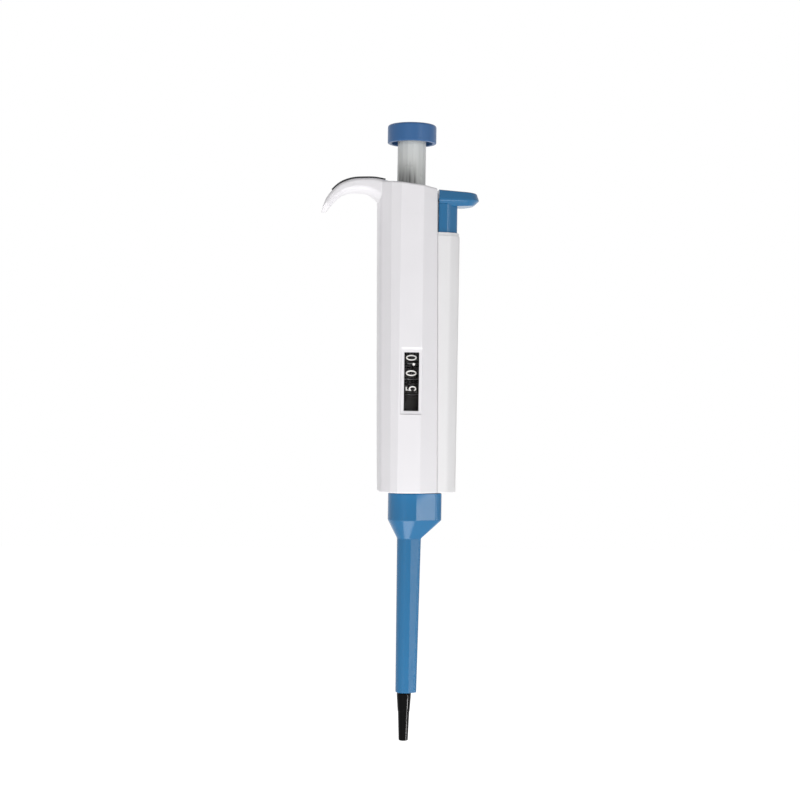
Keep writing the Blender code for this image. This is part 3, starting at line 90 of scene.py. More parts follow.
back = Vector((math.sin(CAMERA_AZIMUTH), -math.cos(CAMERA_AZIMUTH), 0))
right = Vector((math.cos(CAMERA_AZIMUTH), math.sin(CAMERA_AZIMUTH), 0))
lens = bpy.data.cameras.new("camera")
lens.sensor_width = 36.0
lens.lens = FOCAL_PIXELS / PICTURE_WIDTH * lens.sensor_width
lens.clip_start = 0.01
lens.clip_end = 20.0
camera = scene_object("camera", lens)
spot = back * CAMERA_DISTANCE + right * CAMERA_ASIDE + Vector((0, 0, CAMERA_HEIGHT))
aim = Matrix((right, Vector((0, 0, 1)), back)).transposed()
camera.matrix_world = Matrix.Translation(spot) @ (aim @ Matrix.Rotation(CAMERA_ROLL, 3, "Z")).to_4x4()
bpy.context.scene.camera = camera
print("camera at", [round(v, 4) for v in spot], "lens", lens.lens, "mm")

# %% [markdown]
# ## Tools for materials
# Colours are written as they look on a screen, in sRGB hex, and one function turns them to the linear
# values that the shader works with. A second one adds a node with its settings and links, and short ones
# build on it for the nodes that come up most. Patterns are sized in real millimetres: a noise of scale 1
# repeats about once a metre, so the scale for a grain of a given size is one over that size.


# %% Colours, nodes and pattern sizes
def linear(code):
    """An sRGB hex colour as linear red, green, blue and alpha."""
    shares = [int(code[start : start + 2], 16) / 255 for start in (1, 3, 5)]
    curved = [s / 12.92 if s <= 0.04045 else ((s + 0.055) / 1.055) ** 2.4 for s in shares]
    return (*curved, 1.0)


def add(tree, kind, values=None, links=None, **settings):
    """Adds one node, sets its properties and sockets, and links its inputs."""
    node = tree.nodes.new(kind)
    for name, value in settings.items():
        setattr(node, name, value)
    for socket, value in (values or {}).items():
        node.inputs[socket].default_value = value
    for socket, source in (links or {}).items():
        tree.links.new(source, node.inputs[socket])
    return node


def scale_for(size):
    """The texture scale at which a pattern repeats about once in this many metres."""
    return 1.0 / size


def noise(tree, place, size, detail):
    """Soft clouds of about this size in metres, as a value between 0 and 1."""
    values = {"Scale": scale_for(size), "Detail": detail}
    return add(tree, "ShaderNodeTexNoise", values, {"Vector": place}).outputs["Fac"]


def ramp(tree, value, low, high, start=0.0, stop=1.0, kind="LINEAR"):
    """Takes a value that runs from start to stop and makes it run from low to high."""
    ends = {"From Min": start, "From Max": stop, "To Min": low, "To Max": high}
    return add(tree, "ShaderNodeMapRange", ends, {"Value": value}, interpolation_type=kind).outputs["Result"]


def between(tree, share, first, second):
    """A colour between two others, by a share."""
    mix = add(tree, "ShaderNodeMix", {"A": first, "B": second}, {"Factor": share}, data_type="RGBA")
    return mix.outputs["Result"]


def worked(tree, operation, first, second):
    """Two values joined by arithmetic."""
    return add(tree, "ShaderNodeMath", links={0: first, 1: second}, operation=operation).outputs[0]


def relief(tree, shader, height, strength, depth):
    """Bump from a pattern of this real depth."""
    bump = add(tree, "ShaderNodeBump", {"Strength": strength, "Distance": depth}, {"Height": height})
    tree.links.new(bump.outputs["Normal"], shader.inputs["Normal"])


def new_material(name):
    """An empty Principled material, with its tree, shader and a link to the object's own coordinates."""
    material = bpy.data.materials.new(name)
    material.use_nodes = True
    tree = material.node_tree
    shader = tree.nodes["Principled BSDF"]
    place = add(tree, "ShaderNodeTexCoord").outputs["Object"]
    print("material", name)
    return material, tree, shader, place


# %% [markdown]
# ## Moulded plastics
# Most of the pipette is injection-moulded: ABS for the handle, cover and buttons, polypropylene for the
# sleeve, acetal for the wheels and the hub. Such a surface is the mould's surface in reverse. It carries a
# fine spark-eroded grain, which spreads the highlights a little, and faint clouds where the melt cooled at
# different speeds. Handling polishes it in patches. So one recipe, with a colour, a gloss and a grain size,
# makes all of them: clouds in the colour, patches in the roughness, and grain in the bump.


# %% A recipe for moulded plastic
CLOUD_SIZE = mm(14)
PATCH_SIZE = mm(5)
PATCH_SPREAD = 0.12
GRAIN_STRENGTH = 0.6
PLASTIC_IOR = 1.5
# Nearly all values of a noise lie between these two.
NOISE_LOW, NOISE_HIGH = 0.3, 0.7


def moulded(name, colour, roughness, grain=mm(0.35), depth=mm(0.004), clouds=0.03, specular=0.5):
    """Injection-moulded plastic: even colour with faint clouds, patchy gloss and a fine grain."""
    material, tree, shader, place = new_material(name)
    base = linear(colour)[:3]
    dark = [channel * (1 - clouds) for channel in base]
    light = [min(channel * (1 + clouds), 1.0) for channel in base]
    tint = between(tree, noise(tree, place, CLOUD_SIZE, 3.0), (*dark, 1), (*light, 1))
    tree.links.new(tint, shader.inputs["Base Color"])
    patches = noise(tree, place, PATCH_SIZE, 4.0)
    ends = roughness * (1 - PATCH_SPREAD), roughness * (1 + PATCH_SPREAD)
    tree.links.new(ramp(tree, patches, *ends, NOISE_LOW, NOISE_HIGH), shader.inputs["Roughness"])
    relief(tree, shader, noise(tree, place, grain, 2.0), GRAIN_STRENGTH, depth)
    shader.inputs["IOR"].default_value = PLASTIC_IOR
    shader.inputs["Specular IOR Level"].default_value = specular
    return material


# %% The plastics of the pipette
# A cool, clean white with a soft sheen, and for the cover a white from another batch, a shade darker.
handle_abs = moulded("injection_moulded_abs_white", "#E6E4E7", 0.36)
cover_abs = moulded("injection_moulded_abs_cover", "#E1E0E1", 0.36)
# Polypropylene leaves a polished mould smooth, so its flat faces mirror the lamps as crisp strips.
sleeve_pp = moulded("injection_moulded_polypropylene_blue", "#0B6393", 0.18)
# A greyer and duller blue: this button is touched the most.
button_abs = moulded("injection_moulded_abs_blue", "#325F91", 0.38, specular=0.4)
# Acetal without pigment looks milky and waxy. The black one is a dark, quiet ground for the digits.
natural_pom = moulded("injection_moulded_acetal_natural", "#E2E0D8", 0.42)
wheel_pom = moulded("injection_moulded_acetal_black", "#0D0B0B", 0.5, specular=0.12)
# Deep black with a high gloss: nothing shows on it but the streak of a lamp.
nozzle_pvdf = moulded("injection_moulded_pvdf_black", "#030304", 0.12, specular=0.07)
# Soft grades look matte, and the pad's coarser grain gives it grip.
pad_tpe = moulded("moulded_thermoplastic_elastomer", "#2C2D2F", 0.7, depth=mm(0.02))
# Cut polyethylene is off-white and satin, rubber nearly black and satin.
seal_pe = moulded("machined_polyethylene", "#E6E4DA", 0.5)
ring_nbr = moulded("moulded_nitrile_rubber", "#1B1B1C", 0.55)

# %% [markdown]
# ## Other finishes
# The grey sleeve is ABS too. Its colour carries painted shade: it darkens towards the lower end, where the
# sleeve enters the handle, in upright streaks, and more on the hook's side than on the right side, which the
# lamps light. Ground and turned metals carry fine rings. The ink is matte and slightly uneven, and the window
# is clear polycarbonate, which has to let light through to the digits: to shadow rays it's open.

# %% Grey sleeve
# Painted shade on the grey sleeve: darker below these heights, towards the handle, and on the side away from
# the lamps.
SHADE_FADE_LOW, SHADE_FADE_HIGH = mm(217.5), mm(227.5)
SHADE_SIDE_START, SHADE_SIDE_END = mm(0.5), mm(2.5)
RIGHT_SIDE_SHADE = 0.28
FAINT_STREAK = 0.55
STREAK_WIDTH = mm(0.9)
STREAK_STRETCH = 0.06
grey_abs = moulded("injection_moulded_abs_grey", "#CCCECC", 0.3)
tree = grey_abs.node_tree
shader = tree.nodes["Principled BSDF"]
place = tree.nodes["Texture Coordinate"].outputs["Object"]
parts = add(tree, "ShaderNodeSeparateXYZ", links={0: place})
painted_shade = ramp(tree, parts.outputs["Z"], 1.0, 0.0, SHADE_FADE_LOW, SHADE_FADE_HIGH, "SMOOTHSTEP")
stretched = add(tree, "ShaderNodeMapping", {"Scale": (1, 1, STREAK_STRETCH)}, {"Vector": place})
streaks = noise(tree, stretched.outputs[0], STREAK_WIDTH, 2.0)
uneven = ramp(tree, streaks, FAINT_STREAK, 1.0, NOISE_LOW, NOISE_HIGH)
# Painted shade: less of it on the right side, which faces the lamps.
side = ramp(tree, parts.outputs["X"], 1.0, RIGHT_SIDE_SHADE, SHADE_SIDE_START, SHADE_SIDE_END, "SMOOTHSTEP")
share = worked(tree, "MULTIPLY", worked(tree, "MULTIPLY", painted_shade, uneven), side)
unshaded = shader.inputs["Base Color"].links[0].from_socket
sockets = {"Factor": share, "A": unshaded}
# The dark grey that the painted shade mixes in.
shaded_colour = add(tree, "ShaderNodeMix", {"B": linear("#585958")}, sockets, data_type="RGBA")
tree.links.new(shaded_colour.outputs["Result"], shader.inputs["Base Color"])
print("the film fades out over", round((SHADE_FADE_HIGH - SHADE_FADE_LOW) * 1000, 1), "mm")

# %% Metals, ink and clear window
# The wave texture runs through 20 radians over one unit. Real tool marks are finer than this pitch, which is
# as coarse as it has to be to show.
WAVE_RADIANS = 20
RING_PITCH = mm(math.pi / 2)
RING_DEPTH = mm(0.01)


def machined(name, colour, roughness):
    """Turned or drawn metal: fine rings in bump and gloss, which run round the part's own axis."""
    material, tree, shader, place = new_material(name)
    values = {"Scale": math.tau / RING_PITCH / WAVE_RADIANS, "Distortion": 1.5, "Detail": 2.0}
    wave = add(tree, "ShaderNodeTexWave", values, {"Vector": place}, bands_direction="Z").outputs["Fac"]
    bright = linear(colour)
    dull = (*[channel * 0.93 for channel in bright[:3]], 1)
    tree.links.new(between(tree, wave, dull, bright), shader.inputs["Base Color"])
    tree.links.new(ramp(tree, wave, roughness * 0.85, roughness * 1.15), shader.inputs["Roughness"])
    relief(tree, shader, wave, 0.4, RING_DEPTH)
    shader.inputs["Metallic"].default_value = 1.0
    return material


# Ground steel is bright and blurs what it mirrors; drawn wire is greyer; turned brass is warm yellow.
ground_steel = machined("ground_stainless_steel", "#C4C5C8", 0.28)
spring_wire = machined("drawn_spring_wire", "#A9AAAF", 0.34)
turned_brass = machined("turned_brass", "#D2B06A", 0.3)
# Printed ink lies matte on the drum, and a little uneven.
counter_ink = moulded("pad_printed_white_ink", "#D8D8D6", 0.6, grain=mm(0.12), depth=mm(0.003), clouds=0.04)

# The lens bends and mirrors less than real polycarbonate, so that the white room doesn't veil the digits.
WINDOW_IOR = 1.15
clear_pc, tree, shader, place = new_material("moulded_clear_polycarbonate")
shader.inputs["Base Color"].default_value = linear("#FCFBFB")
shader.inputs["Transmission Weight"].default_value = 1.0
shader.inputs["IOR"].default_value = WINDOW_IOR
haze = noise(tree, place, mm(1.2), 3.0)
tree.links.new(ramp(tree, haze, 0.015, 0.06), shader.inputs["Roughness"])
rays = add(tree, "ShaderNodeLightPath")
through = add(tree, "ShaderNodeBsdfTransparent", {"Color": linear("#F4F3F3")})
sockets = {0: rays.outputs["Is Shadow Ray"], 1: shader.outputs[0], 2: through.outputs[0]}
window = add(tree, "ShaderNodeMixShader", links=sockets)
tree.links.new(window.outputs[0], tree.nodes["Material Output"].inputs["Surface"])

# %% [markdown]
# ## Shapes from rings
# Every moulding here is a skin over rings of points, one above the other: bmesh joins ring to ring with
# quads and closes both ends. The finer the rings, the rounder the form.


# %% Lofts, turned forms and rounded outlines
def loft(rings):
    """Skins rings of equal length, one after the other, and closes both ends."""
    shape = bmesh.new()
    loops = [[shape.verts.new(point) for point in points] for points in rings]
    for lower, upper in zip(loops, loops[1:]):
        for index, corner in enumerate(lower):
            after = (index + 1) % len(lower)
            shape.faces.new((corner, lower[after], upper[after], upper[index]))
    shape.faces.new(list(reversed(loops[0])))
    shape.faces.new(loops[-1])
    bmesh.ops.recalc_face_normals(shape, faces=shape.faces)
    return shape


def turned(profile, centre=(0, 0), segments=96):
    """A solid of revolution from (radius, height) pairs, closed by itself where it keeps off the axis."""
    shape = bmesh.new()
    points = [shape.verts.new((radius, 0, height)) for radius, height in profile]
    pairs = list(zip(points, points[1:]))
    if profile[0][0] > 0 or profile[-1][0] > 0:
        pairs.append((points[-1], points[0]))
    edges = [shape.edges.new(pair) for pair in pairs]
    path = {"cent": (0, 0, 0), "axis": (0, 0, 1), "angle": 2 * math.pi, "steps": segments}
    bmesh.ops.spin(shape, geom=points + edges, use_merge=True, **path)
    bmesh.ops.remove_doubles(shape, verts=shape.verts, dist=1e-6)
    bmesh.ops.recalc_face_normals(shape, faces=shape.faces)
    bmesh.ops.translate(shape, vec=(*centre, 0), verts=shape.verts)
    return shape


def cylinder(radius, low, high, centre=(0, 0), segments=96):
    """A round bar between two heights."""
    return turned([(0, low), (radius, low), (radius, high), (0, high)], centre, segments)


def block(low, high):
    """A box between two opposite corners."""
    low, high = Vector(low), Vector(high)
    shape = bmesh.new()
    bmesh.ops.create_cube(shape, size=1.0)
    bmesh.ops.scale(shape, vec=high - low, verts=shape.verts)
    bmesh.ops.translate(shape, vec=(low + high) / 2, verts=shape.verts)
    return shape


# A corner that is drawn inwards keeps at least this radius.
LEAST_ROUND = mm(0.15)


def inset_corners(corners, inset):
    """Moves every side of a corner list inwards; each corner is (x, y, radius), anticlockwise."""
    moved = []
    for index, (x, y, radius) in enumerate(corners):
        here = Vector((x, y))
        come = (here - Vector(corners[index - 1][:2])).normalized()
        leave = (Vector(corners[(index + 1) % len(corners)][:2]) - here).normalized()
        inward = (Vector((-come.y, come.x)) + Vector((-leave.y, leave.x))).normalized()
        half = math.acos(max(-1.0, min(1.0, come.dot(leave)))) / 2
        point = here + inward * inset / math.cos(half)
        moved.append((point.x, point.y, max(radius - inset, LEAST_ROUND)))
    return moved


def rounded_outline(corners, inset=0.0, steps=8):
    """The outline of a corner list, each corner as an arc of the same number of points."""
    points = []
    placed = inset_corners(corners, inset) if inset else corners
    for index, (x, y, radius) in enumerate(placed):
        here = Vector((x, y))
        before = (Vector(placed[index - 1][:2]) - here).normalized()
        after = (Vector(placed[(index + 1) % len(placed)][:2]) - here).normalized()
        opening = before.angle(after)
        centre = here + (before + after).normalized() * radius / math.sin(opening / 2)
        start = here + before * radius / math.tan(opening / 2)
        for step in range(steps + 1):
            arm = (start - centre).copy()
            arm.rotate(Matrix.Rotation((math.pi - opening) * step / steps, 2))
            points.append(tuple(centre + arm))
    return points


def curve_through(points, steps):
    """A smooth curve through a few points, as a Catmull-Rom spline."""
    ends = [2 * Vector(points[0]) - Vector(points[1]), *map(Vector, points)]
    ends.append(2 * Vector(points[-1]) - Vector(points[-2]))
    curve = []
    for a, b, c, d in zip(ends, ends[1:], ends[2:], ends[3:]):
        for step in range(steps):
            t = step / steps
            bend = (2 * a - 5 * b + 4 * c - d) * t**2 + (3 * b - a - 3 * c + d) * t**3
            curve.append(tuple((2 * b + (c - a) * t + bend) / 2))
    curve.append(tuple(points[-1]))
    return curve


def quarter(radius, steps):
    """Pairs of (how far in, how far short) along a quarter round, from the wall to the face."""
    angles = [math.pi / 2 * step / steps for step in range(steps + 1)]
    return [(radius * (1 - math.cos(angle)), radius * (1 - math.sin(angle))) for angle in angles]


# %% [markdown]
# A finished piece is a mesh in world coordinates with its material, smooth faces and sharp creases. Holes
# and unions are Boolean modifiers, as in the frame itself. Weighted normals keep large flat faces flat to
# the eye where a small fillet meets them.


# %% Pieces and Boolean cuts
CREASE = 30


def mesh_of(name, shape):
    """The mesh of a finished shape, which is then let go."""
    mesh = bpy.data.meshes.new(name)
    shape.to_mesh(mesh)
    shape.free()
    return mesh


def piece(name, shape, material, body, replaced=()):
    """A mesh object from a shape, dressed and riding on its body."""
    mesh = mesh_of(name, shape)
    mesh.shade_smooth()
    mesh.set_sharp_from_angle(angle=math.radians(CREASE))
    mesh.materials.append(material)
    obj = scene_object(name, mesh)
    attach(obj, body)
    if replaced:
        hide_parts(*replaced)
    return obj


def combine(obj, operation, shape):
    """Adds or takes away a shape for good, and drops the helper."""
    helper = scene_object("helper", mesh_of("helper", shape))
    modifier = obj.modifiers.new("cut", "BOOLEAN")
    modifier.operation = operation
    modifier.solver = "EXACT"
    modifier.object = helper
    graph = bpy.context.evaluated_depsgraph_get()
    made = bpy.data.meshes.new_from_object(obj.evaluated_get(graph))
    obj.modifiers.clear()
    obj.data = made
    bpy.data.objects.remove(helper)


def settle(obj, sharp=CREASE):
    """Marks creases again after cuts and weights the normals by face area."""
    obj.data.shade_smooth()
    obj.data.set_sharp_from_angle(angle=math.radians(sharp))
    modifier = obj.modifiers.new("normals", "WEIGHTED_NORMAL")
    modifier.keep_sharp = True
    graph = bpy.context.evaluated_depsgraph_get()
    print(obj.name, len(obj.evaluated_get(graph).data.polygons), "faces")


def mark_edges(obj, chosen, smooth):
    """Makes the chosen edges of a piece smooth or sharp."""
    shape = bmesh.new()
    shape.from_mesh(obj.data)
    for edge in shape.edges:
        if chosen(edge):
            edge.smooth = smooth
    shape.to_mesh(obj.data)
    shape.free()


# %% [markdown]
# ## Handle
# The handle is one ABS moulding. Its plan has a flat front facet between two sloping ones, and a rounded
# back. It widens towards the hook as it rises, and the right side, where the ejector cover stands, leans
# inwards. The plan at any height is a short list of corners, so the body is a loft.

# %% Handle: the plan
HANDLE_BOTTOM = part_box("handle_shell")[0].z
HANDLE_LENGTH = mm(119.0)
HANDLE_TOP = HANDLE_BOTTOM + HANDLE_LENGTH
HANDLE_FRONT = mm(12.0)
HANDLE_BACK = mm(13.7)
HANDLE_LEFT = (mm(11.1), mm(12.8))
HANDLE_RIGHT = (mm(11.0), mm(9.5))
LEFT_SWELL = 0.8
TOP_SLOPE = 0.115
FACETS = (mm(-4.95), mm(3.75))
FACET_ROUND = mm(0.8)
RIGHT_EDGE, RIGHT_ROUND = mm(-7.6), mm(0.9)
BACK_ROUNDS = (mm(4.8), mm(6.2))
LEFT_ROUND = mm(4.0)
LEFT_FACET_SHARE, LEFT_FACET_Y = 0.67, mm(-10.2)
HANDLE_WALL = mm(1.5)
RIGHT_WALL = mm(1.2)
EDGE_FILLET = mm(0.8)


def handle_left(height):
    """The hook side swells outwards as the handle rises."""
    share = min(max((height - HANDLE_BOTTOM) / HANDLE_LENGTH, 0), 1) ** LEFT_SWELL
    return -(HANDLE_LEFT[0] + (HANDLE_LEFT[1] - HANDLE_LEFT[0]) * share)


def handle_right(height):
    """The side next to the ejector cover leans inwards."""
    share = (height - HANDLE_BOTTOM) / HANDLE_LENGTH
    return HANDLE_RIGHT[0] + (HANDLE_RIGHT[1] - HANDLE_RIGHT[0]) * share


def handle_corners(height, right_side=None):
    """The plan at a height as corners with their rounding, anticlockwise from the front facet."""
    left = handle_left(height)
    side = handle_right(height) if right_side is None else right_side
    return [
        (FACETS[0], -HANDLE_FRONT, FACET_ROUND),
        (FACETS[1], -HANDLE_FRONT, FACET_ROUND),
        (side, RIGHT_EDGE, RIGHT_ROUND),
        (side, HANDLE_BACK, BACK_ROUNDS[0]),
        (left, HANDLE_BACK, BACK_ROUNDS[1]),
        (left, -HANDLE_FRONT / 2, LEFT_ROUND),
        (left * LEFT_FACET_SHARE, LEFT_FACET_Y, FACET_ROUND),
    ]


def handle_ring(height, inset=0.0, roof=None):
    """One ring of the handle; near the roof it follows the slope that falls towards the ejector."""
    outline = rounded_outline(handle_corners(height), inset)
    if roof is None:
        return [(x, y, height) for x, y in outline]
    return [(x, y, HANDLE_TOP - TOP_SLOPE * x - roof) for x, y in outline]


print("the handle reaches from", round(HANDLE_BOTTOM * 1000, 1), "to", round(HANDLE_TOP * 1000, 1), "mm")

# %% [markdown]
# The finger hook grows out of the handle's left side. Its outline is two curves seen from the front. Slices
# of it stand side by side from flank to flank. They are drawn in towards both flanks, which rounds all edges
# at once, and they end earlier there, which rounds the tip.

# %% Hook and pad lines
HOOK_REACH = mm(35.0)
HOOK_DROP = mm(13.5)
HOOK_CROWN = HANDLE_TOP + mm(2.75)
HOOK_THICKNESS = mm(5.45)
HOOK_HALF_WIDTH = mm(6.5)
HOOK_TOP_EDGE = mm(1.3)
HOOK_UNDER_EDGE = mm(3.6)
HOOK_TIP_ROUND = mm(4.5)
HOOK_TIP_SHARE = 0.3
# How far the hook's end inside the handle lies below its first upper and lower point.
ROOT_BELOW = (mm(1.1), mm(3.2))
PAD_HALF_WIDTH = mm(4.7)
PAD_SHOWN = mm(0.38)
PAD_SUNK = mm(0.5)
PAD_EDGE = mm(0.3)
PAD_SHARE = 0.75


def hook_lines(steps=6):
    """The hook's upper and lower edge, seen from the front, from the handle out to its tip."""
    reaches = (0.29, 0.41, 0.53, 0.66, 0.78, 0.87, 0.96, 1.0)
    drops = (0.05, 0.0, 0.0, 0.03, 0.14, 0.325, 0.63, 1.0)
    top = [(-HOOK_REACH * reach, HOOK_CROWN - HOOK_DROP * drop) for reach, drop in zip(reaches, drops)]
    roof = HOOK_CROWN - HOOK_THICKNESS
    reaches = (0.34, 0.40, 0.49, 0.62, 0.76, 0.87, 0.95)
    drops = (0.34, 0.18, 0.03, 0.0, 0.07, 0.32, 0.58)
    under = [(-HOOK_REACH * reach, roof - HOOK_DROP * drop) for reach, drop in zip(reaches, drops)]
    return curve_through(top, steps), curve_through(under, steps)


def beside(curve, distance):
    """The same curve moved sideways, to the left of its run."""
    moved = []
    for index, point in enumerate(curve):
        before = Vector(curve[max(index - 1, 0)])
        after = Vector(curve[min(index + 1, len(curve) - 1)])
        run = (after - before).normalized()
        moved.append((point[0] - run.y * distance, point[1] + run.x * distance))
    return moved


def closed_inset(outline, distance):
    """A closed outline with every side moved inwards by the same distance; it runs anticlockwise."""
    moved = []
    count = len(outline)
    for index, point in enumerate(outline):
        here = Vector(point)
        arriving = (here - Vector(outline[index - 1])).normalized()
        leaving = (Vector(outline[(index + 1) % count]) - here).normalized()
        run = (arriving + leaving).normalized()
        reach = distance / max(run.dot(leaving), 0.5)
        moved.append((point[0] - run.y * reach, point[1] + run.x * reach))
    return moved


def arc_shy(aside, half_width, reach, depth=None):
    """How far a round or oval corner falls short of a square one, at a distance from the middle."""
    past = min(max(abs(aside) - (half_width - reach), 0) / reach, 1)
    return (depth or reach) * (1 - math.sqrt(1 - past**2))


def resampled(curve, count):
    """The same line with a new number of points, evenly spaced along it."""
    lengths = [0.0]
    for a, b in zip(curve, curve[1:]):
        lengths.append(lengths[-1] + (Vector(b) - Vector(a)).length)
    spots = []
    index = 0
    for step in range(count):
        wanted = lengths[-1] * step / (count - 1)
        while index < len(curve) - 2 and lengths[index + 1] < wanted:
            index += 1
        share = (wanted - lengths[index]) / (lengths[index + 1] - lengths[index])
        spots.append(tuple(Vector(curve[index]).lerp(Vector(curve[index + 1]), share)))
    return spots


def hook_slice(upper, lower, aside):
    """The hook's outline at a distance from its middle plane: thinner and shorter near the flanks."""
    shorter = arc_shy(aside, HOOK_HALF_WIDTH, HOOK_TIP_ROUND)
    above, below = [], []
    last = len(upper) - 1
    spacing = (Vector(upper[1]) - Vector(upper[0])).length
    for index in range(last + 1):
        end = max(index / last - 1 + HOOK_TIP_SHARE, 0) / HOOK_TIP_SHARE
        spot = index - shorter / spacing * end**2
        first = min(int(spot), last - 1)
        high, low = (Vector(line[first]).lerp(Vector(line[first + 1]), spot - first) for line in (upper, lower))
        middle = (high + low) / 2
        arm = high - middle
        for line, sign, edge in ((above, 1, HOOK_TOP_EDGE), (below, -1, HOOK_UNDER_EDGE)):
            reach, depth = min(edge, arm.length * 1.5), min(edge, arm.length * 0.9)
            kept = 1 - arc_shy(aside, HOOK_HALF_WIDTH, reach, depth) / arm.length
            line.append(tuple(middle + arm * sign * kept))
    roots = [(ROOT, line[0][1] - below_it) for line, below_it in zip((above, below), ROOT_BELOW)]
    return [(x, aside, z) for x, z in (roots[0], *above, *reversed(below), roots[1])]


def sliced(outline, half_width, edge, steps=3):
    """Slices of an outline side by side across Y, drawn in near both flanks so that the edges are round."""
    across = [half_width - edge * (1 - math.sin(math.pi / 2 * step / steps)) for step in range(steps + 1)]
    across = [-value for value in reversed(across)] + across
    slices = []
    for aside in across:
        inner = closed_inset(outline, arc_shy(aside, half_width, edge))
        slices.append([(x, aside, z) for x, z in inner])
    return slices


def pad_band(spare=0.0, proud=0.0):
    """The pad's shape along most of the hook's top line, or with some spare the bed for it."""
    run = top[1 : int(len(top) * PAD_SHARE)]
    ring = [*beside(run, PAD_SHOWN + PAD_SUNK + spare), *reversed(beside(run, proud))]
    return loft(sliced(ring, PAD_HALF_WIDTH + spare, PAD_EDGE))


top, under = hook_lines()
print("the hook reaches", HOOK_REACH * 1000, "mm to the left, in", len(top), "points")

# %% [markdown]
# First the body is lofted, and the hook is joined to it by a Boolean union and gets the bed for its pad.
# Near the tip the hook narrows, and it widens a little where it meets the handle. Under the pad its own top
# line lies lower, by what the pad shows, and comes back to the hook's line towards the tip.

# %% Handle: body and hook
HOOK_POINTS = 48
HOOK_HALF_SLICES = 9
TIP_TAPER, TIP_TAPER_RUN = 0.1, mm(15)
ROOT_FLARE, FLARE_START, FLARE_RUN = 0.06, mm(23), mm(12)
levels = [share / 12 for share in range(1, 12)]
rings = [handle_ring(HANDLE_BOTTOM + short, inset) for inset, short in reversed(quarter(mm(0.55), 4))]
rings += [handle_ring(HANDLE_BOTTOM + HANDLE_LENGTH * share) for share in levels]
rings += [handle_ring(HANDLE_TOP, inset, short) for inset, short in quarter(EDGE_FILLET, 5)]
shell = piece("handle_moulding", loft(rings), handle_abs, "handle", ["handle_shell"])

body_top = beside(top, PAD_SHOWN)
fade = len(body_top) // 2
for index in range(fade, len(top)):
    share = (index - fade) / (len(top) - 1 - fade)
    body_top[index] = tuple(Vector(body_top[index]).lerp(Vector(top[index]), share))
ROOT = handle_left(HANDLE_TOP) / 2
upper, lower = resampled(body_top, HOOK_POINTS), resampled(under, HOOK_POINTS)
slices = []
for step in range(-HOOK_HALF_SLICES, HOOK_HALF_SLICES + 1):
    aside = HOOK_HALF_WIDTH * math.sin(math.pi / 2 * step / HOOK_HALF_SLICES)
    slices.append(hook_slice(upper, lower, aside))
hook = loft(slices)
for vertex in hook.verts:
    from_tip = min(max((vertex.co.x + HOOK_REACH) / TIP_TAPER_RUN, 0), 1)
    to_root = min(max((vertex.co.x + FLARE_START) / FLARE_RUN, 0), 1)
    vertex.co.y *= 1 - TIP_TAPER + TIP_TAPER * from_tip + ROOT_FLARE * to_root**6
combine(shell, "UNION", hook)
combine(shell, "DIFFERENCE", pad_band(mm(0.08), mm(-1.0)))
print("handle with hook:", len(shell.data.polygons), "faces")

# %% [markdown]
# The window sits in a shallow tray. Its upper wall slopes more than the others, so it catches the light. The
# tray is a loft of rounded rectangles that grow towards the front, cut from the handle.

# %% Handle: tray round the window
WINDOW_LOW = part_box("window_lens")[0].z + mm(0.9)
WINDOW_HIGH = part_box("window_lens")[1].z - mm(0.9)
WINDOW_HALF = mm(2.86)
SILL = mm(1.15)
RECESS = mm(0.45)
RECESS_ROUND = mm(0.35)
TOP_SLOPE_RUN = mm(0.85)
SIDE_SLOPE_RUN = mm(0.27)
recess = []
for depth, soft in ((1.0, 0.06), (0.9, 0.0), (0.1, 0.0), (0.0, -0.1), (-0.8, -0.9)):
    run = 1 - depth - soft
    aside = WINDOW_HALF + SILL + SIDE_SLOPE_RUN * run
    low, high = WINDOW_LOW - SILL - SIDE_SLOPE_RUN * run, WINDOW_HIGH + SILL + TOP_SLOPE_RUN * run
    y = -HANDLE_FRONT + RECESS * depth
    corners = [(-aside, low), (aside, low), (aside, high), (-aside, high)]
    outline = rounded_outline([(x, z, RECESS_ROUND) for x, z in corners], 0.0, 4)
    recess.append([(x, y, z) for x, z in outline])
combine(shell, "DIFFERENCE", loft(recess))
print("window", round((WINDOW_HIGH - WINDOW_LOW) * 1000, 2), "mm high")

# %% [markdown]
# Inside, the handle is hollow for the counter and the mechanism. Bores in its floor and roof take the tube,
# the guide bush and the sleeve, and a slot on the right takes the flat ejector rod.

# %% Handle: hollows
HANDLE_FLOOR = mm(1.6)
ROOM_BELOW_TOP = mm(10.6)
ROOM_RIGHT = mm(9.0)
ROD_LEFT, ROD_RIGHT, ROD_HALF = mm(9.9), mm(12.9), mm(2.3)
SLOT_RIGHT = mm(19)


def rod_room(low, high, right=ROD_RIGHT):
    """The upright room of the flat ejector rod, between two heights."""
    return block((ROD_LEFT, -ROD_HALF, low), (right, ROD_HALF, high))


heights = [HANDLE_BOTTOM + HANDLE_FLOOR]
heights += [HANDLE_BOTTOM + HANDLE_LENGTH * share for share in levels[1:-1]]
heights.append(HANDLE_TOP - ROOM_BELOW_TOP)
rooms = []
for height in heights:
    side = min(ROOM_RIGHT, handle_right(height) - RIGHT_WALL) + HANDLE_WALL
    outline = rounded_outline(handle_corners(height, side), HANDLE_WALL)
    rooms.append([(x, y, height) for x, y in outline])
combine(shell, "DIFFERENCE", loft(rooms))
# The tube's neck in the floor, the guide bush below the roof, and the sleeve through it.
for bore, low, high in (
    (mm(7.9), HANDLE_BOTTOM - GAP, HANDLE_BOTTOM + mm(2)),
    (mm(8.0), HANDLE_TOP - mm(10.9), HANDLE_TOP - mm(2.4)),
    (mm(5.85), HANDLE_TOP - mm(10), HANDLE_TOP + mm(10)),
):
    combine(shell, "DIFFERENCE", cylinder(bore, low, high))
combine(shell, "DIFFERENCE", rod_room(HANDLE_BOTTOM - GAP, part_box("ejector_rod")[1].z + GAP, SLOT_RIGHT))

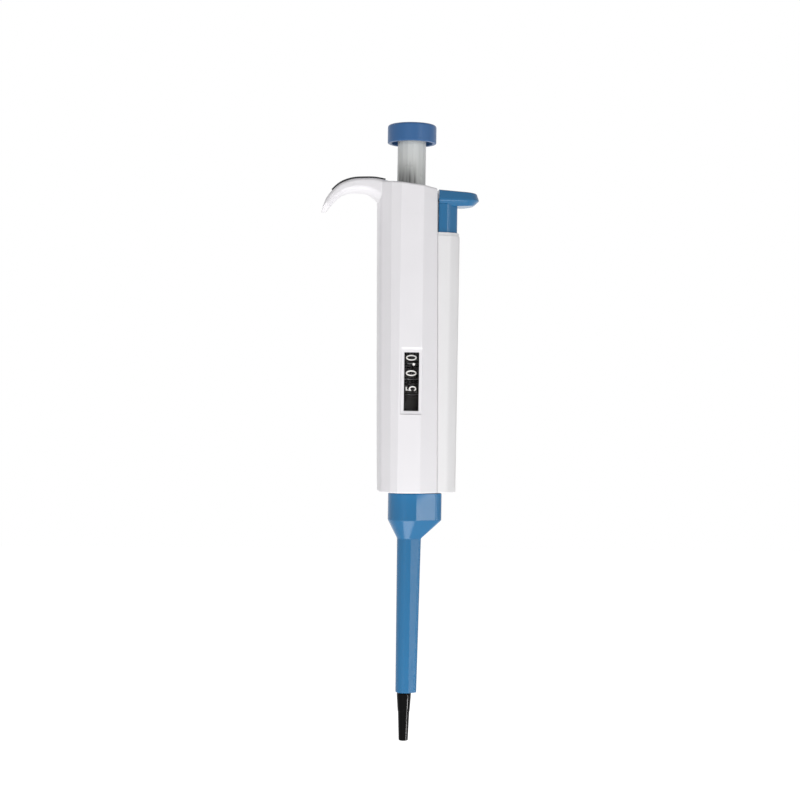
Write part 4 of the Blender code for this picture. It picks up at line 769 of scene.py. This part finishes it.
opening = []
for depth, wider in ((RECESS - mm(0.3), mm(0.45)), (RECESS + mm(0.15), 0.0), (HANDLE_WALL + GAP, 0.0)):
    aside, y = WINDOW_HALF + wider, -HANDLE_FRONT + depth
    z_low, z_high = WINDOW_LOW - wider, WINDOW_HIGH + wider
    opening.append([(-aside, y, z_low), (aside, y, z_low), (aside, y, z_high), (-aside, y, z_high)])
combine(shell, "DIFFERENCE", loft(opening))
lens_low, lens_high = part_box("window_lens")
combine(shell, "DIFFERENCE", block(lens_low - Vector((GAP,) * 3), lens_high + Vector((GAP, mm(2), GAP))))
settle(shell)

# The hook's tip is round all over, so no crease stays beyond the pad's end.
TIP_START = mm(-30.5)
mark_edges(shell, lambda edge: max(vertex.co.x for vertex in edge.verts) < TIP_START, smooth=True)

# %% [markdown]
# ## Hook pad
# A strip of soft elastomer lies along the hook's crown, where the index finger rests. It is a band of even
# thickness along the hook's top line, sunk into a shallow bed.

# %% Hook pad
pad = piece("hook_pad_strip", pad_band(), pad_tpe, "handle", ["hook_pad"])
settle(pad)

# %% [markdown]
# ## Push button and its sleeve
# The button is turned in shape: a low dome, a filleted rim and a recess below, which leaves a skirt round the
# sleeve. One profile, turned round the axis, makes all of it.

# %% Push button
low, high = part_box("push_button")
radius = high.x
DOME, DOME_STEPS = mm(0.7), 8
RIM = mm(1.5)
RIM_BEVEL = mm(0.2)
RIM_ROUND = mm(0.35)
SHOULDER_ROUND = mm(0.95)
SOCKET_RADIUS = mm(5.85)
socket_roof = high.z - mm(5.3)
skirt = radius - RIM
profile = [(0, socket_roof), (SOCKET_RADIUS, socket_roof), (SOCKET_RADIUS, low.z + mm(1.6))]
profile += [(skirt, low.z + mm(1.4)), (skirt, low.z + RIM_BEVEL), (skirt + RIM_BEVEL, low.z)]
profile += [(radius - inset, low.z + short) for inset, short in reversed(quarter(RIM_ROUND, 3))]
profile += [(radius - inset, high.z - DOME - short) for inset, short in quarter(SHOULDER_ROUND, 7)]
inner = radius - SHOULDER_ROUND
for step in range(1, DOME_STEPS + 1):
    across = inner * (1 - step / DOME_STEPS)
    profile.append((across, high.z - DOME * (across / inner) ** 2))
button = piece("push_button_cap", turned(profile, segments=128), button_abs, "plunger", ["push_button"])
settle(button)
print("button", round(radius * 2000, 2), "mm across")

# %% [markdown]
# The grey sleeve below the button slides in the handle. Shallow flutes give a gloved finger some hold. Two
# deeper grooves, hidden inside the handle, take the ribs of the setting hub, so the button turns the hub at
# any height of its stroke.

# %% Plunger sleeve
FLUTES = 16
FLUTE_DEPTH = mm(0.16)
FLUTE_POWER = 0.8
POINTS_AROUND = FLUTES * 10
SLEEVE_BEVEL = mm(0.3)
SLEEVE_BORE = mm(4.35)
SLEEVE_ROOF = mm(2.8)
ROD_BORE = mm(2.05)
GROOVE_DEPTH, GROOVE_HALF = mm(0.55), mm(0.9)
GROOVE_ABOVE_HUB = mm(14.5)
low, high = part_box("plunger_sleeve")
SLEEVE_RADIUS = high.x


def fluted_ring(height, inset=0.0):
    """A circle with shallow hollows; the power of the sine makes the ridges narrow and the hollows wide."""
    points = []
    for step in range(POINTS_AROUND):
        angle = 2 * math.pi * step / POINTS_AROUND
        hollow = abs(math.sin(FLUTES / 2 * angle)) ** FLUTE_POWER
        radius = SLEEVE_RADIUS - inset - FLUTE_DEPTH * hollow
        points.append((radius * math.cos(angle), radius * math.sin(angle), height))
    return points


rings = [fluted_ring(low.z, SLEEVE_BEVEL), fluted_ring(low.z + SLEEVE_BEVEL), fluted_ring(high.z)]
sleeve = piece("plunger_tube", loft(rings), grey_abs, "plunger", ["plunger_sleeve"])
roof = high.z - SLEEVE_ROOF
combine(sleeve, "DIFFERENCE", cylinder(SLEEVE_BORE, low.z - GAP, roof))
combine(sleeve, "DIFFERENCE", cylinder(ROD_BORE, roof - GAP, high.z + GAP))
groove_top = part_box("drive_hub")[1].z + GROOVE_ABOVE_HUB
for side in (-1, 1):
    near, far = sorted((side * (SLEEVE_RADIUS - GROOVE_DEPTH), side * (SLEEVE_RADIUS + mm(1))))
    combine(sleeve, "DIFFERENCE", block((near, -GROOVE_HALF, low.z - GAP), (far, GROOVE_HALF, groove_top)))
settle(sleeve, 40)
print("sleeve", round(SLEEVE_RADIUS * 2000, 2), "mm across, with", FLUTES, "flutes")

# %% [markdown]
# ## Ejector cover
# A long channel of white ABS covers the ejector rod and its spring on the right of the handle. Its plan has
# flat cheeks and a rounded nose. The top is open for the button's stem and has a narrow stepped lip.

# %% Ejector cover
COVER_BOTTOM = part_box("ejector_cover")[0].z
COVER_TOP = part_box("ejector_cover")[1].z
COVER_LENGTH = COVER_TOP - COVER_BOTTOM
COVER_REACH = (mm(18.8), mm(19.05))
CHEEK_HALF, CHEEK_END, CHEEK_ROUND = mm(6.6), mm(14.6), mm(3.6)
NOSE_HALF, NOSE_ROUND = mm(3.4), mm(2.8)
COVER_EDGE = mm(0.3)
COVER_WALL = mm(0.7)
COVER_FLOOR = mm(1.2)
LIP_HEIGHT = mm(1.4)
LIP_STEP = mm(0.32)
COVER_GAP = mm(0.09)
LEDGE = COVER_TOP - mm(40)


def cover_ring(height, inset=0.0, left=None):
    """The cover's plan at a height, from the handle's side out to its rounded nose."""
    share = (height - COVER_BOTTOM) / COVER_LENGTH
    reach = COVER_REACH[0] + (COVER_REACH[1] - COVER_REACH[0]) * share - inset
    half, nose, flat = CHEEK_HALF - inset, NOSE_HALF - inset / 2, CHEEK_END - inset / 2
    near = handle_right(height) + COVER_GAP if left is None else left
    back_half = [(reach, nose, NOSE_ROUND - inset / 2), (flat, half, CHEEK_ROUND), (near, half, COVER_EDGE)]
    front_half = [(x, -y, soft) for x, y, soft in reversed(back_half)]
    return [(x, y, height) for x, y in rounded_outline(front_half + back_half, steps=7)]


rings = [cover_ring(COVER_BOTTOM + short, inset) for inset, short in reversed(quarter(mm(0.5), 4))]
rings += [cover_ring(COVER_BOTTOM + COVER_LENGTH * share / 6) for share in range(1, 6)]
rings.append(cover_ring(COVER_TOP - LIP_HEIGHT))
rings.append(cover_ring(COVER_TOP - LIP_HEIGHT + mm(0.1), LIP_STEP))
rings += [cover_ring(COVER_TOP - short, LIP_STEP + inset) for inset, short in quarter(mm(0.25), 3)]
cover = piece("ejector_cover_channel", loft(rings), cover_abs, "handle", ["ejector_cover"])
# Two rooms, one above the other, with the ledge that the ejector spring stands on between them.
for heights in ((COVER_BOTTOM + COVER_FLOOR, LEDGE - COVER_FLOOR), (LEDGE, COVER_TOP + GAP)):
    combine(cover, "DIFFERENCE", loft([cover_ring(height, COVER_WALL, ROD_LEFT) for height in heights]))
combine(cover, "DIFFERENCE", rod_room(COVER_BOTTOM - GAP, COVER_TOP))
settle(cover)
print("cover", round(COVER_LENGTH * 1000, 1), "mm long")

# %% [markdown]
# ## Ejector button
# The thumb plate is one moulding with its stem. Its side is upright above and slopes in below, so a clear
# edge runs along it. The rings here lie on slanted planes: each is the plate's plan, drawn in by what the
# slope or the fillet takes, at a height that falls towards the free end.

# %% Ejector button: the plate
THUMB_HALF = mm(6.6)
THUMB_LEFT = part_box("ejector_button")[0].x
THUMB_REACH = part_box("ejector_button")[1].x
THUMB_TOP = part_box("ejector_button")[1].z
THUMB_BOTTOM = COVER_TOP + mm(10.15)
THUMB_DROP = mm(1.1)
THUMB_LIFT = mm(0.9)
THUMB_ROUND, HIDDEN_ROUND = mm(5.2), mm(0.4)
SLOPE_HEIGHT = mm(2.3)
SLOPE_INSET = mm(1.7)
# The side that looks to the handle is drawn in by no more than this.
HIDDEN_INSET = mm(0.25)


def thumb_ring(height_share, inset):
    """The plate's plan with a round free end, on a slanted plane between underside and top."""
    hidden = THUMB_LEFT - max(inset - HIDDEN_INSET, 0)
    corners = [(hidden, -THUMB_HALF, HIDDEN_ROUND), (THUMB_REACH, -THUMB_HALF, THUMB_ROUND)]
    corners += [(x, -y, soft) for x, y, soft in reversed(corners)]
    ring = []
    for x, y in rounded_outline(corners, inset, 10):
        along = (x - THUMB_LEFT) / (THUMB_REACH - THUMB_LEFT)
        bottom = THUMB_BOTTOM + THUMB_LIFT * along**2
        top = THUMB_TOP - THUMB_DROP * along
        ring.append((x, y, bottom + (top - bottom) * height_share))
    return ring


# Height above the underside, and how far the plan is drawn in there: the slope, the edge, and the fillet.
thickness = THUMB_TOP - THUMB_BOTTOM
profile = [(0.0, SLOPE_INSET + mm(0.8)), (mm(0.12), SLOPE_INSET + mm(0.3)), (mm(0.4), SLOPE_INSET)]
profile += [(SLOPE_HEIGHT - mm(0.35), mm(0.36)), (SLOPE_HEIGHT, mm(0.1)), (SLOPE_HEIGHT + mm(0.3), 0.0)]
profile += [(SLOPE_HEIGHT + mm(0.8), mm(0.07)), (SLOPE_HEIGHT + mm(1.4), mm(0.22))]
profile += [(thickness - short, mm(0.7) + inset) for inset, short in quarter(mm(0.9), 6)]
rings = [thumb_ring(height / thickness, inset) for height, inset in profile]
thumb = piece("ejector_thumb_button", loft(rings), sleeve_pp, "ejector", ["ejector_button"])
print("thumb plate", round(thickness * 1000, 2), "mm thick")

# %% [markdown]
# The stem has the plan of the cover's inside and slides in it. A post below it holds the spring, and a pocket
# takes the end of the flat rod.

# %% Ejector button: stem, post and pocket
STEM_BOTTOM = COVER_TOP - mm(12.7)
STEM_LEFT = THUMB_LEFT + mm(0.15)
POST_LENGTH = mm(15)
plan = cover_ring(COVER_TOP, COVER_WALL + GAP, STEM_LEFT)
combine(thumb, "UNION", loft([[(x, y, z) for x, y, _ in plan] for z in (STEM_BOTTOM, THUMB_BOTTOM + mm(1))]))
spring_low, spring_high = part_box("ejector_spring")
SPRING_CENTRE = (spring_low.x + spring_high.x) / 2
post_radius = (spring_high.x - spring_low.x) / 2 - mm(0.8)
post = cylinder(post_radius, STEM_BOTTOM - POST_LENGTH, STEM_BOTTOM + GAP, (SPRING_CENTRE, 0), 32)
combine(thumb, "UNION", post)
combine(thumb, "DIFFERENCE", rod_room(STEM_BOTTOM - GAP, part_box("ejector_rod")[1].z + GAP))
settle(thumb, 32)

# %% [markdown]
# ## Ejector sleeve
# The blue sleeve rides on the nozzle tube. In plan it is a circle with a nose to the right, where the flat
# rod enters. The flank of the nose is flat and meets the front at a clear upright ridge. Below, the block
# narrows through a cone to a slim stem, and the same plan shrinks with it.

# %% Ejector sleeve: sizes
STEM_BORE, BLOCK_BORE = mm(3.0), mm(6.4)
# The cone inside lies this much higher than the one outside, which keeps the wall even.
CONE_RISE = mm(0.96)
SOCKET_DEPTH = mm(8.4)
BLOCK_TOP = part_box("ejector_sleeve")[1].z
BLOCK_BOTTOM = BLOCK_TOP - mm(10.4)
SHOULDER_BOTTOM = BLOCK_BOTTOM - mm(7.7)
SLEEVE_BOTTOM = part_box("ejector_sleeve")[0].z
# Radius of the round, reach of the nose and half its width, in the block and at both ends of the stem.
BLOCK = (mm(7.35), mm(13.4), mm(5.3))
STEM_TOP = (mm(3.6), mm(5.7), mm(1.9))
STEM_FOOT = (mm(3.4), mm(4.75), mm(2.29))
# Where the shoulder's rings lie, and how far each has grown from stem to block.
SHOULDER = [(0.0, 0.0), (0.03, 0.012), (0.08, 0.05), (0.5, 0.5), (0.93, 0.95), (0.97, 0.985), (1.0, 1.0)]
RIDGE_SHARE = 0.42
END_SHARE = 0.55
ROUND_STEPS, END_STEPS = 40, 10


def sleeve_ring(height, radius, reach, nose):
    """A round on the left, a short flat front up to a ridge, a flat flank, and a nose with a rounded end."""
    points = []
    for step in range(ROUND_STEPS + 1):
        angle = -math.pi / 2 - math.pi * step / ROUND_STEPS
        points.append((radius * math.cos(angle), radius * math.sin(angle)))
    ridge = radius * RIDGE_SHARE
    points = [(ridge, radius), *reversed(points), (ridge, -radius)]
    round_end = nose * END_SHARE
    end = []
    for step in range(END_STEPS + 1):
        angle = math.pi / 2 * (step / END_STEPS - 1)
        end.append((reach - round_end * (1 - math.cos(angle)), -nose + round_end * (1 + math.sin(angle))))
    points += end + [(x, -y) for x, y in reversed(end)]
    return [(x, y, height) for x, y in points]


def drawn_in(size, inset):
    """A ring's three sizes, all smaller by the same amount."""
    return [value - inset for value in size]


def grown(small, large, share):
    """A ring's three sizes, part of the way from a small ring to a large one."""
    return [low + (high - low) * share for low, high in zip(small, large)]


print("sleeve from", round(SLEEVE_BOTTOM * 1000, 2), "to", round(BLOCK_TOP * 1000, 2), "mm")

# %% Ejector sleeve: body and bore
rings = []
for inset, short in reversed(quarter(mm(0.3), 3)):
    rings.append(sleeve_ring(SLEEVE_BOTTOM + short, *drawn_in(STEM_FOOT, inset)))
for share in (0.25, 0.5, 0.75):
    height = SLEEVE_BOTTOM + (SHOULDER_BOTTOM - SLEEVE_BOTTOM) * share
    rings.append(sleeve_ring(height, *grown(STEM_FOOT, STEM_TOP, share)))
for rise, share in SHOULDER:
    height = SHOULDER_BOTTOM + (BLOCK_BOTTOM - SHOULDER_BOTTOM) * rise
    rings.append(sleeve_ring(height, *grown(STEM_TOP, BLOCK, share)))
rings.append(sleeve_ring(BLOCK_BOTTOM + mm(0.12), *BLOCK))
rings.append(sleeve_ring((BLOCK_BOTTOM + BLOCK_TOP) / 2, *BLOCK))
rings += [sleeve_ring(BLOCK_TOP - short, *drawn_in(BLOCK, inset)) for inset, short in quarter(mm(0.35), 3)]
blue = piece("ejector_sleeve_body", loft(rings), sleeve_pp, "ejector", ["ejector_sleeve"])
inside = [(0, SLEEVE_BOTTOM - GAP), (STEM_BORE, SLEEVE_BOTTOM - GAP), (STEM_BORE, SHOULDER_BOTTOM + CONE_RISE)]
inside += [(BLOCK_BORE, BLOCK_BOTTOM + CONE_RISE), (BLOCK_BORE, BLOCK_TOP + GAP), (0, BLOCK_TOP + GAP)]
combine(blue, "DIFFERENCE", turned(inside))
combine(blue, "DIFFERENCE", rod_room(BLOCK_TOP - SOCKET_DEPTH, BLOCK_TOP + GAP))
settle(blue, 24)

RIDGE_ANGLE = math.radians(12)
UPRIGHT = 0.97


def upright_ridge(edge):
    """True for an upright edge between two faces that meet at a clear angle."""
    run = (edge.verts[1].co - edge.verts[0].co).normalized()
    return len(edge.link_faces) == 2 and abs(run.z) > UPRIGHT and edge.calc_face_angle() > RIDGE_ANGLE


mark_edges(blue, upright_ridge, smooth=False)

# %% [markdown]
# ## Nozzle
# The disposable tip is pushed onto this cone. It is moulded in black PVDF, which shrugs off solvents, with
# a fine ring where a tip's rim comes to rest.

# %% Nozzle cone
CONE_LENGTH = mm(18.4)
END_RADIUS, END_ROUND = mm(1.84), mm(0.3)
BORE, WIDE_BORE, NECK_RADIUS = mm(0.5), mm(1.47), mm(1.97)
NECK_TOP = CONE_LENGTH + mm(5.1)
profile = [(BORE, 0.0), (mm(1.5), 0.0)]
profile += [(END_RADIUS - inset, short) for inset, short in reversed(quarter(END_ROUND, 4))]
# The ring, where a tip's rim comes to rest.
profile += [(mm(2.24), mm(11.3)), (mm(2.3), mm(11.4)), (mm(2.38), mm(11.5)), (mm(2.4), mm(12.2))]
profile += [(mm(2.43), mm(12.3)), (mm(2.82), CONE_LENGTH - mm(0.3)), (mm(2.72), CONE_LENGTH)]
profile += [(NECK_RADIUS, CONE_LENGTH), (NECK_RADIUS, NECK_TOP), (WIDE_BORE, NECK_TOP)]
profile += [(WIDE_BORE, mm(15.5)), (BORE, mm(14))]
cone = piece("nozzle_cone", turned(profile, segments=72), nozzle_pvdf, "handle", ["tip_cone"])
settle(cone, 28)

# %% [markdown]
# ## Volume counter
# Behind the window four black wheels lie on one axis: tenths above, then units and tens, and a blank filler
# below. The frame's own number drums are right, so they stay and get a material; only the filler is redrawn,
# to reach up to the tens wheel. The digits are pad-printed ink, drawn here as thin raised ribbons that wrap
# round each drum. They lie on their side, because the counter is read with the pipette held level: their
# tops point to the hook and the number runs upwards.

# %% Digit strokes
INK_HEIGHT = mm(3.7)
INK_WIDTH = mm(1.72)
INK_STROKE = mm(0.43)
INK_RISE = mm(0.03)
DRUM_RADIUS = mm(8.4)
DIGIT_ASIDE = mm(0.17)
DIGIT_PITCH = math.radians(36)


def arc(centre, reach, start, end, steps=20):
    """Points on an ellipse arc, with the angles in degrees."""
    turns = [math.radians(start + (end - start) * step / steps) for step in range(steps + 1)]
    return [(centre[0] + reach[0] * math.cos(t), centre[1] + reach[1] * math.sin(t)) for t in turns]


six = [(0.36, 0.47), (0.1, 0.4), (-0.28, 0.2), (-0.46, -0.1)] + arc((0.0, -0.2), (0.46, 0.3), 180, 540)
STROKES = {
    0: [arc((0, 0), (0.5, 0.5), 0, 360, 32)],
    1: [[(-0.3, 0.3), (0.06, 0.5), (0.06, -0.5)]],
    2: [arc((0, 0.22), (0.44, 0.28), 165, -25) + [(-0.45, -0.5), (0.48, -0.5)]],
    3: [arc((-0.04, 0.26), (0.42, 0.24), 150, -80), arc((-0.02, -0.23), (0.46, 0.27), 95, -150)],
    4: [[(0.2, -0.5), (0.2, 0.5), (-0.48, -0.18), (0.5, -0.18)]],
    5: [[(0.4, 0.5), (-0.32, 0.5), (-0.4, 0.05), *arc((-0.02, -0.17), (0.46, 0.33), 130, -150)]],
    6: [six],
    7: [[(-0.46, 0.5), (0.46, 0.5), (-0.12, -0.5)]],
    8: [arc((0, 0.26), (0.38, 0.24), 0, 360), arc((0, -0.22), (0.46, 0.28), 0, 360)],
    9: [[(-x, -y) for x, y in six]],
}


def ribbon(shape, stroke, wrap):
    """Adds a flat ribbon along a stroke; wrap puts a point of the flat drawing on the drum."""
    line = [Vector((x * INK_WIDTH, y * INK_HEIGHT)) for x, y in stroke]
    closed = (line[0] - line[-1]).length < mm(0.01)
    line = line[:-1] if closed else line
    rows = []
    for index, point in enumerate(line):
        before = line[index - 1] if closed or index else point
        after = line[(index + 1) % len(line)] if closed or index + 1 < len(line) else point
        come, leave = (point - before), (after - point)
        come = come.normalized() if come.length else leave.normalized()
        leave = leave.normalized() if leave.length else come
        side = (Vector((-come.y, come.x)) + Vector((-leave.y, leave.x))).normalized()
        reach = INK_STROKE / 2 / max(side.dot(Vector((-leave.y, leave.x))), 0.6)
        edges = (point + side * reach, point - side * reach)
        rows.append([shape.verts.new(wrap(edge, rise)) for rise in (-INK_RISE, INK_RISE) for edge in edges])
    pairs = list(zip(rows, rows[1:])) + ([(rows[-1], rows[0])] if closed else [])
    for one, two in pairs:
        for a, b in ((0, 1), (1, 3), (3, 2), (2, 0)):
            shape.faces.new((one[a], one[b], two[b], two[a]))
    if not closed:
        for row, turn in ((rows[0], 1), (rows[-1], -1)):
            shape.faces.new([row[i] for i in (0, 2, 3, 1)][::turn])


def number_ring(name, body, centre, digits, shown):
    """All digits of one wheel; the shown one faces the window at rest, and a higher one follows it."""
    shape = bmesh.new()
    for place, digit in enumerate(digits):
        turn = (place - shown) * DIGIT_PITCH

        def wrap(point, rise):
            angle = turn + (point.y - DIGIT_ASIDE) / DRUM_RADIUS
            radius = DRUM_RADIUS + rise
            return (-radius * math.sin(angle), -radius * math.cos(angle), centre + point.x)

        for stroke in STROKES[digit]:
            ribbon(shape, stroke, wrap)
    bmesh.ops.recalc_face_normals(shape, faces=shape.faces)
    ring = piece(name, shape, counter_ink, body)
    return ring


# %% Digits on the wheels
# The height of each wheel's middle, its digits, and the place of the one that shows at rest, at 50.0.
number_ring("tens_digits", "tens_counter", mm(137.23), range(10), 5)
number_ring("units_digits", "units_counter", mm(143.19), range(10), 0)
number_ring("tenths_digits", "adjuster", mm(149.15), [0, 5] * 5, 0)
print("digits", INK_HEIGHT * 1000, "mm high")

# %% Filler drum and decimal point
FILLER_BORE = mm(4.35)
filler_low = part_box("blank_wheel")[0].z
filler_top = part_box("tens_wheel")[0].z - GAP
profile = [(FILLER_BORE, filler_low)]
for height, turn in ((filler_low, 1), (filler_top, -1)):
    corner = [(DRUM_RADIUS - inset, height + turn * short) for inset, short in quarter(mm(0.25), 3)]
    profile += reversed(corner) if turn == 1 else corner
profile.append((FILLER_BORE, filler_top))
blank = piece("blank_filler_drum", turned(profile), wheel_pom, "handle", ["blank_wheel"])

# The point is printed on the lens's inner face, between the units and the tenths.
POINT_RADIUS = mm(0.52)
POINT_ASIDE, POINT_HEIGHT = mm(0.95), mm(146.6)
lens_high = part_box("window_lens")[1]
profile = [(0, mm(-0.02)), (POINT_RADIUS, mm(-0.02)), (POINT_RADIUS, mm(0.04))]
profile += [(POINT_RADIUS * 0.9, mm(0.06)), (0, mm(0.06))]
point = turned(profile, segments=40)
bmesh.ops.rotate(point, cent=(0, 0, 0), matrix=Matrix.Rotation(math.radians(90), 3, "X"), verts=point.verts)
bmesh.ops.translate(point, vec=(POINT_ASIDE, lens_high.y + mm(0.07), POINT_HEIGHT), verts=point.verts)
point = piece("decimal_point", point, counter_ink, "handle")
print("filler drum", round((filler_top - filler_low) * 1000, 2), "mm high")

# %% [markdown]
# ## Springs
# Three coil springs work inside: the long one lifts the piston, the stout one below it resists the blow-out
# stroke, and one in the cover lifts the ejector. Each is drawn wire, coiled, with its end turns closed. A
# coil is a tube along a helix, whose pitch falls to the wire's thickness near both ends.


# %% Springs
STEPS_A_TURN = 28
CLOSED_TURNS = 0.8


def coil(name, node, wire, turns, keep, centre=(0.0, 0.0), sides=8):
    """A spring with closed ends in its CAD solid's box."""
    low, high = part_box(node)
    mean = (high.y - low.y) / 2 - wire / 2
    bottom, top = low.z + wire / 2, high.z - wire / 2
    steps = int(turns * STEPS_A_TURN)
    path = []
    for step in range(steps + 1):
        share = step / steps
        closing = CLOSED_TURNS / turns
        along = min(max((share - closing) / (1 - 2 * closing), 0), 1)
        rise = wire * 0.5 * (min(share, closing) + max(share - 1 + closing, 0)) / closing
        height = bottom + rise + (top - bottom - wire) * along
        angle = 2 * math.pi * turns * share
        path.append(Vector((centre[0] + mean * math.cos(angle), centre[1] + mean * math.sin(angle), height)))
    rings = []
    for index, spot in enumerate(path):
        run = (path[min(index + 1, steps)] - path[max(index - 1, 0)]).normalized()
        out = Vector((spot.x - centre[0], spot.y - centre[1], 0)).normalized()
        out = (out - run * out.dot(run)).normalized()
        up = run.cross(out)
        around = [2 * math.pi * side / sides for side in range(sides)]
        rings.append([tuple(spot + (out * math.cos(a) + up * math.sin(a)) * wire / 2) for a in around])
    spring = piece(name, loft(rings), spring_wire, "handle", [node])
    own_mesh(spring)
    print(name, "length", round((high.z - low.z) * 1000, 2), "mm, keeps", keep)
    return spring


coil("piston_return_spring", "piston_spring", mm(0.45), 11, 0.37)
coil("blowout_return_spring", "blowout_spring", mm(0.7), 3, 0.45)
coil("ejector_return_spring", "ejector_spring", mm(0.5), 12, 0.63, (SPRING_CENTRE, 0.0))

# %% [markdown]
# ## The other solids
# Rods, nuts, pinions and seals sit inside and are right as they are. Each gets the finish of its own
# material, because the pipette can be opened or cut in a drawing.

# %% Finishes for the frame's own solids
FINISHES = {
    clear_pc: ["window_lens"],
    wheel_pom: ["guide_bush", "counter_frame", "tens_wheel", "units_wheel", "tenths_wheel"],
    natural_pom: ["spring_housing", "drive_hub", "piston_head", "carry_pinion_upper", "carry_pinion_lower"],
    ground_steel: ["pinion_shaft", "volume_spindle", "operating_rod", "piston", "blowout_plate", "ejector_rod"],
    turned_brass: ["volume_nut", "lock_nut", "stop_collar", "seal_retainer"],
    nozzle_pvdf: ["shaft_tube"],
    seal_pe: ["piston_seal"],
    ring_nbr: ["seal_o_ring"],
}
for material, names in FINISHES.items():
    for name in names:
        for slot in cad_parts[name].material_slots:
            slot.material = material
print(sum(len(names) for names in FINISHES.values()), "solids keep their shape")

# %% [markdown]
# ## Floor, world and light
# The picture is a product shot on a plain white sweep. The camera, the mirror images and the view through
# the window take the world as white, at a strength of one, and only a little of it lights the object. The
# floor does the same, and it is also matte paper, which the lamps light. Round the foot its own glow is a
# little weaker, so the lamps make up the white there and the object's shadow shows.

# %% Floor
FLOOR_HEIGHT = -0.3
FLOOR_SIZE = 8.0
# The glow at the foot and far out, where the change begins and ends, and the share that lights the object.
GLOW_NEAR, GLOW_FAR = 0.70, 0.93
GLOW_START, GLOW_END = 0.35, 0.75
GLOW_ONTO_OBJECT = 0.48


def seen_share(tree):
    """One for what is seen by the camera, mirrored or through glass, nought for light onto surfaces."""
    rays = add(tree, "ShaderNodeLightPath").outputs
    seen = worked(tree, "MAXIMUM", rays["Is Camera Ray"], rays["Is Glossy Ray"])
    return worked(tree, "MAXIMUM", seen, rays["Is Transmission Ray"])


sweep_shape = bmesh.new()
bmesh.ops.create_grid(sweep_shape, x_segments=1, y_segments=1, size=FLOOR_SIZE / 2)
bmesh.ops.translate(sweep_shape, vec=(0, 0, FLOOR_HEIGHT), verts=sweep_shape.verts)
floor = scene_object("floor", mesh_of("floor", sweep_shape))
sweep = bpy.data.materials.new("paper_sweep")
sweep.use_nodes = True
tree = sweep.node_tree
tree.nodes.remove(tree.nodes["Principled BSDF"])
fibre = add(tree, "ShaderNodeTexNoise", {"Scale": scale_for(mm(8)), "Detail": 3.0}).outputs["Fac"]
paper = between(tree, fibre, linear("#DEDEDE"), linear("#E1E1E1"))
matte = add(tree, "ShaderNodeBsdfDiffuse", links={"Color": paper})
place = add(tree, "ShaderNodeTexCoord").outputs["Object"]
flat = add(tree, "ShaderNodeVectorMath", {1: (1, 1, 0)}, {0: place}, operation="MULTIPLY")
away = add(tree, "ShaderNodeVectorMath", links={0: flat.outputs[0]}, operation="LENGTH").outputs["Value"]
shown = ramp(tree, away, GLOW_NEAR, GLOW_FAR, GLOW_START, GLOW_END, "SMOOTHSTEP")
sockets = {"Value": seen_share(tree), "To Max": shown}
strength = add(tree, "ShaderNodeMapRange", {"To Min": GLOW_ONTO_OBJECT}, sockets)
glow = add(tree, "ShaderNodeEmission", links={"Strength": strength.outputs["Result"]})
blend = add(tree, "ShaderNodeAddShader", links={0: matte.outputs[0], 1: glow.outputs[0]})
tree.links.new(blend.outputs[0], tree.nodes["Material Output"].inputs["Surface"])
floor.data.materials.append(sweep)
print("floor at", FLOOR_HEIGHT, "m")

# %% World
AMBIENT = 0.15
bpy.context.scene.view_settings.view_transform = "Standard"
world = bpy.data.worlds.new("studio")
bpy.context.scene.world = world
world.use_nodes = True
tree = world.node_tree
sky = tree.nodes["Background"]
sky.inputs["Color"].default_value = (1, 1, 1, 1)
tree.links.new(ramp(tree, seen_share(tree), AMBIENT, 1.0), sky.inputs["Strength"])
print("the world lights the object at a strength of", AMBIENT)

# %% [markdown]
# Two broad boxes, one in front and one behind, give the even light of a tent. They leave no mirror image on
# the glossy plastics. The mirror images come from two tall strips on the right: a flat upright face shows
# the strip that stands at twice its own angle, so one strip serves the blue sleeve's block and the other its
# stem. Two small panels low in front light what faces down, such as the thumb plate's slope.


# %% Lights
def softbox(name, azimuth, elevation, distance, size, power, centre=0.13, mirrored=True):
    """A rectangular lamp that faces the object; azimuth 0 is in front, positive to the right.

    A lamp that isn't mirrored lights the surfaces but shows in none of them.
    """
    turn, lift = math.radians(azimuth), math.radians(elevation)
    out = Vector((math.sin(turn) * math.cos(lift), -math.cos(turn) * math.cos(lift), math.sin(lift)))
    lamp = bpy.data.lights.new(name, "AREA")
    lamp.shape = "RECTANGLE"
    lamp.size, lamp.size_y = size
    lamp.energy = power
    box = scene_object(name, lamp)
    box.location = Vector((0, 0, centre)) + out * distance
    box.rotation_euler = out.to_track_quat("Z", "Y").to_euler()
    box.visible_camera = False
    box.visible_glossy = mirrored
    return box


# Azimuth, elevation, distance, size and power, in degrees, metres and watts. The low lamps aim lower.
LOW_CENTRE = 0.082
softbox("front_box", -20, 4, 1.5, (0.9, 0.9), 8.0, mirrored=False)
softbox("back_box", 175, 42, 1.5, (1.2, 1.2), 10.0, mirrored=False)
softbox("right_strip", 36, 0, 1.3, (0.16, 1.0), 2.6)
softbox("side_strip", 62, 0, 1.3, (0.13, 1.0), 0.9)
softbox("low_panel", 1, -54, 0.25, (0.18, 0.1), 0.18, LOW_CENTRE)
softbox("low_fill", 1, -54, 0.25, (0.34, 0.16), 0.3, LOW_CENTRE, mirrored=False)

# %% [markdown]
# The nozzle is black and glossy, so it only shows what it mirrors. A card close to it on the right makes the
# pale streak along it. The card is linked to the cone alone and gives no diffuse light, so no other piece
# takes a glare from it.

# %% Nozzle card
nozzle_card = softbox("nozzle_card", 64, 0, 0.4, (0.06, 0.045), 0.9, -0.115)
nozzle_card.visible_diffuse = False
nozzle_only = bpy.data.collections.new("nozzle_only")
nozzle_only.objects.link(cone)
nozzle_card.light_linking.receiver_collection = nozzle_only
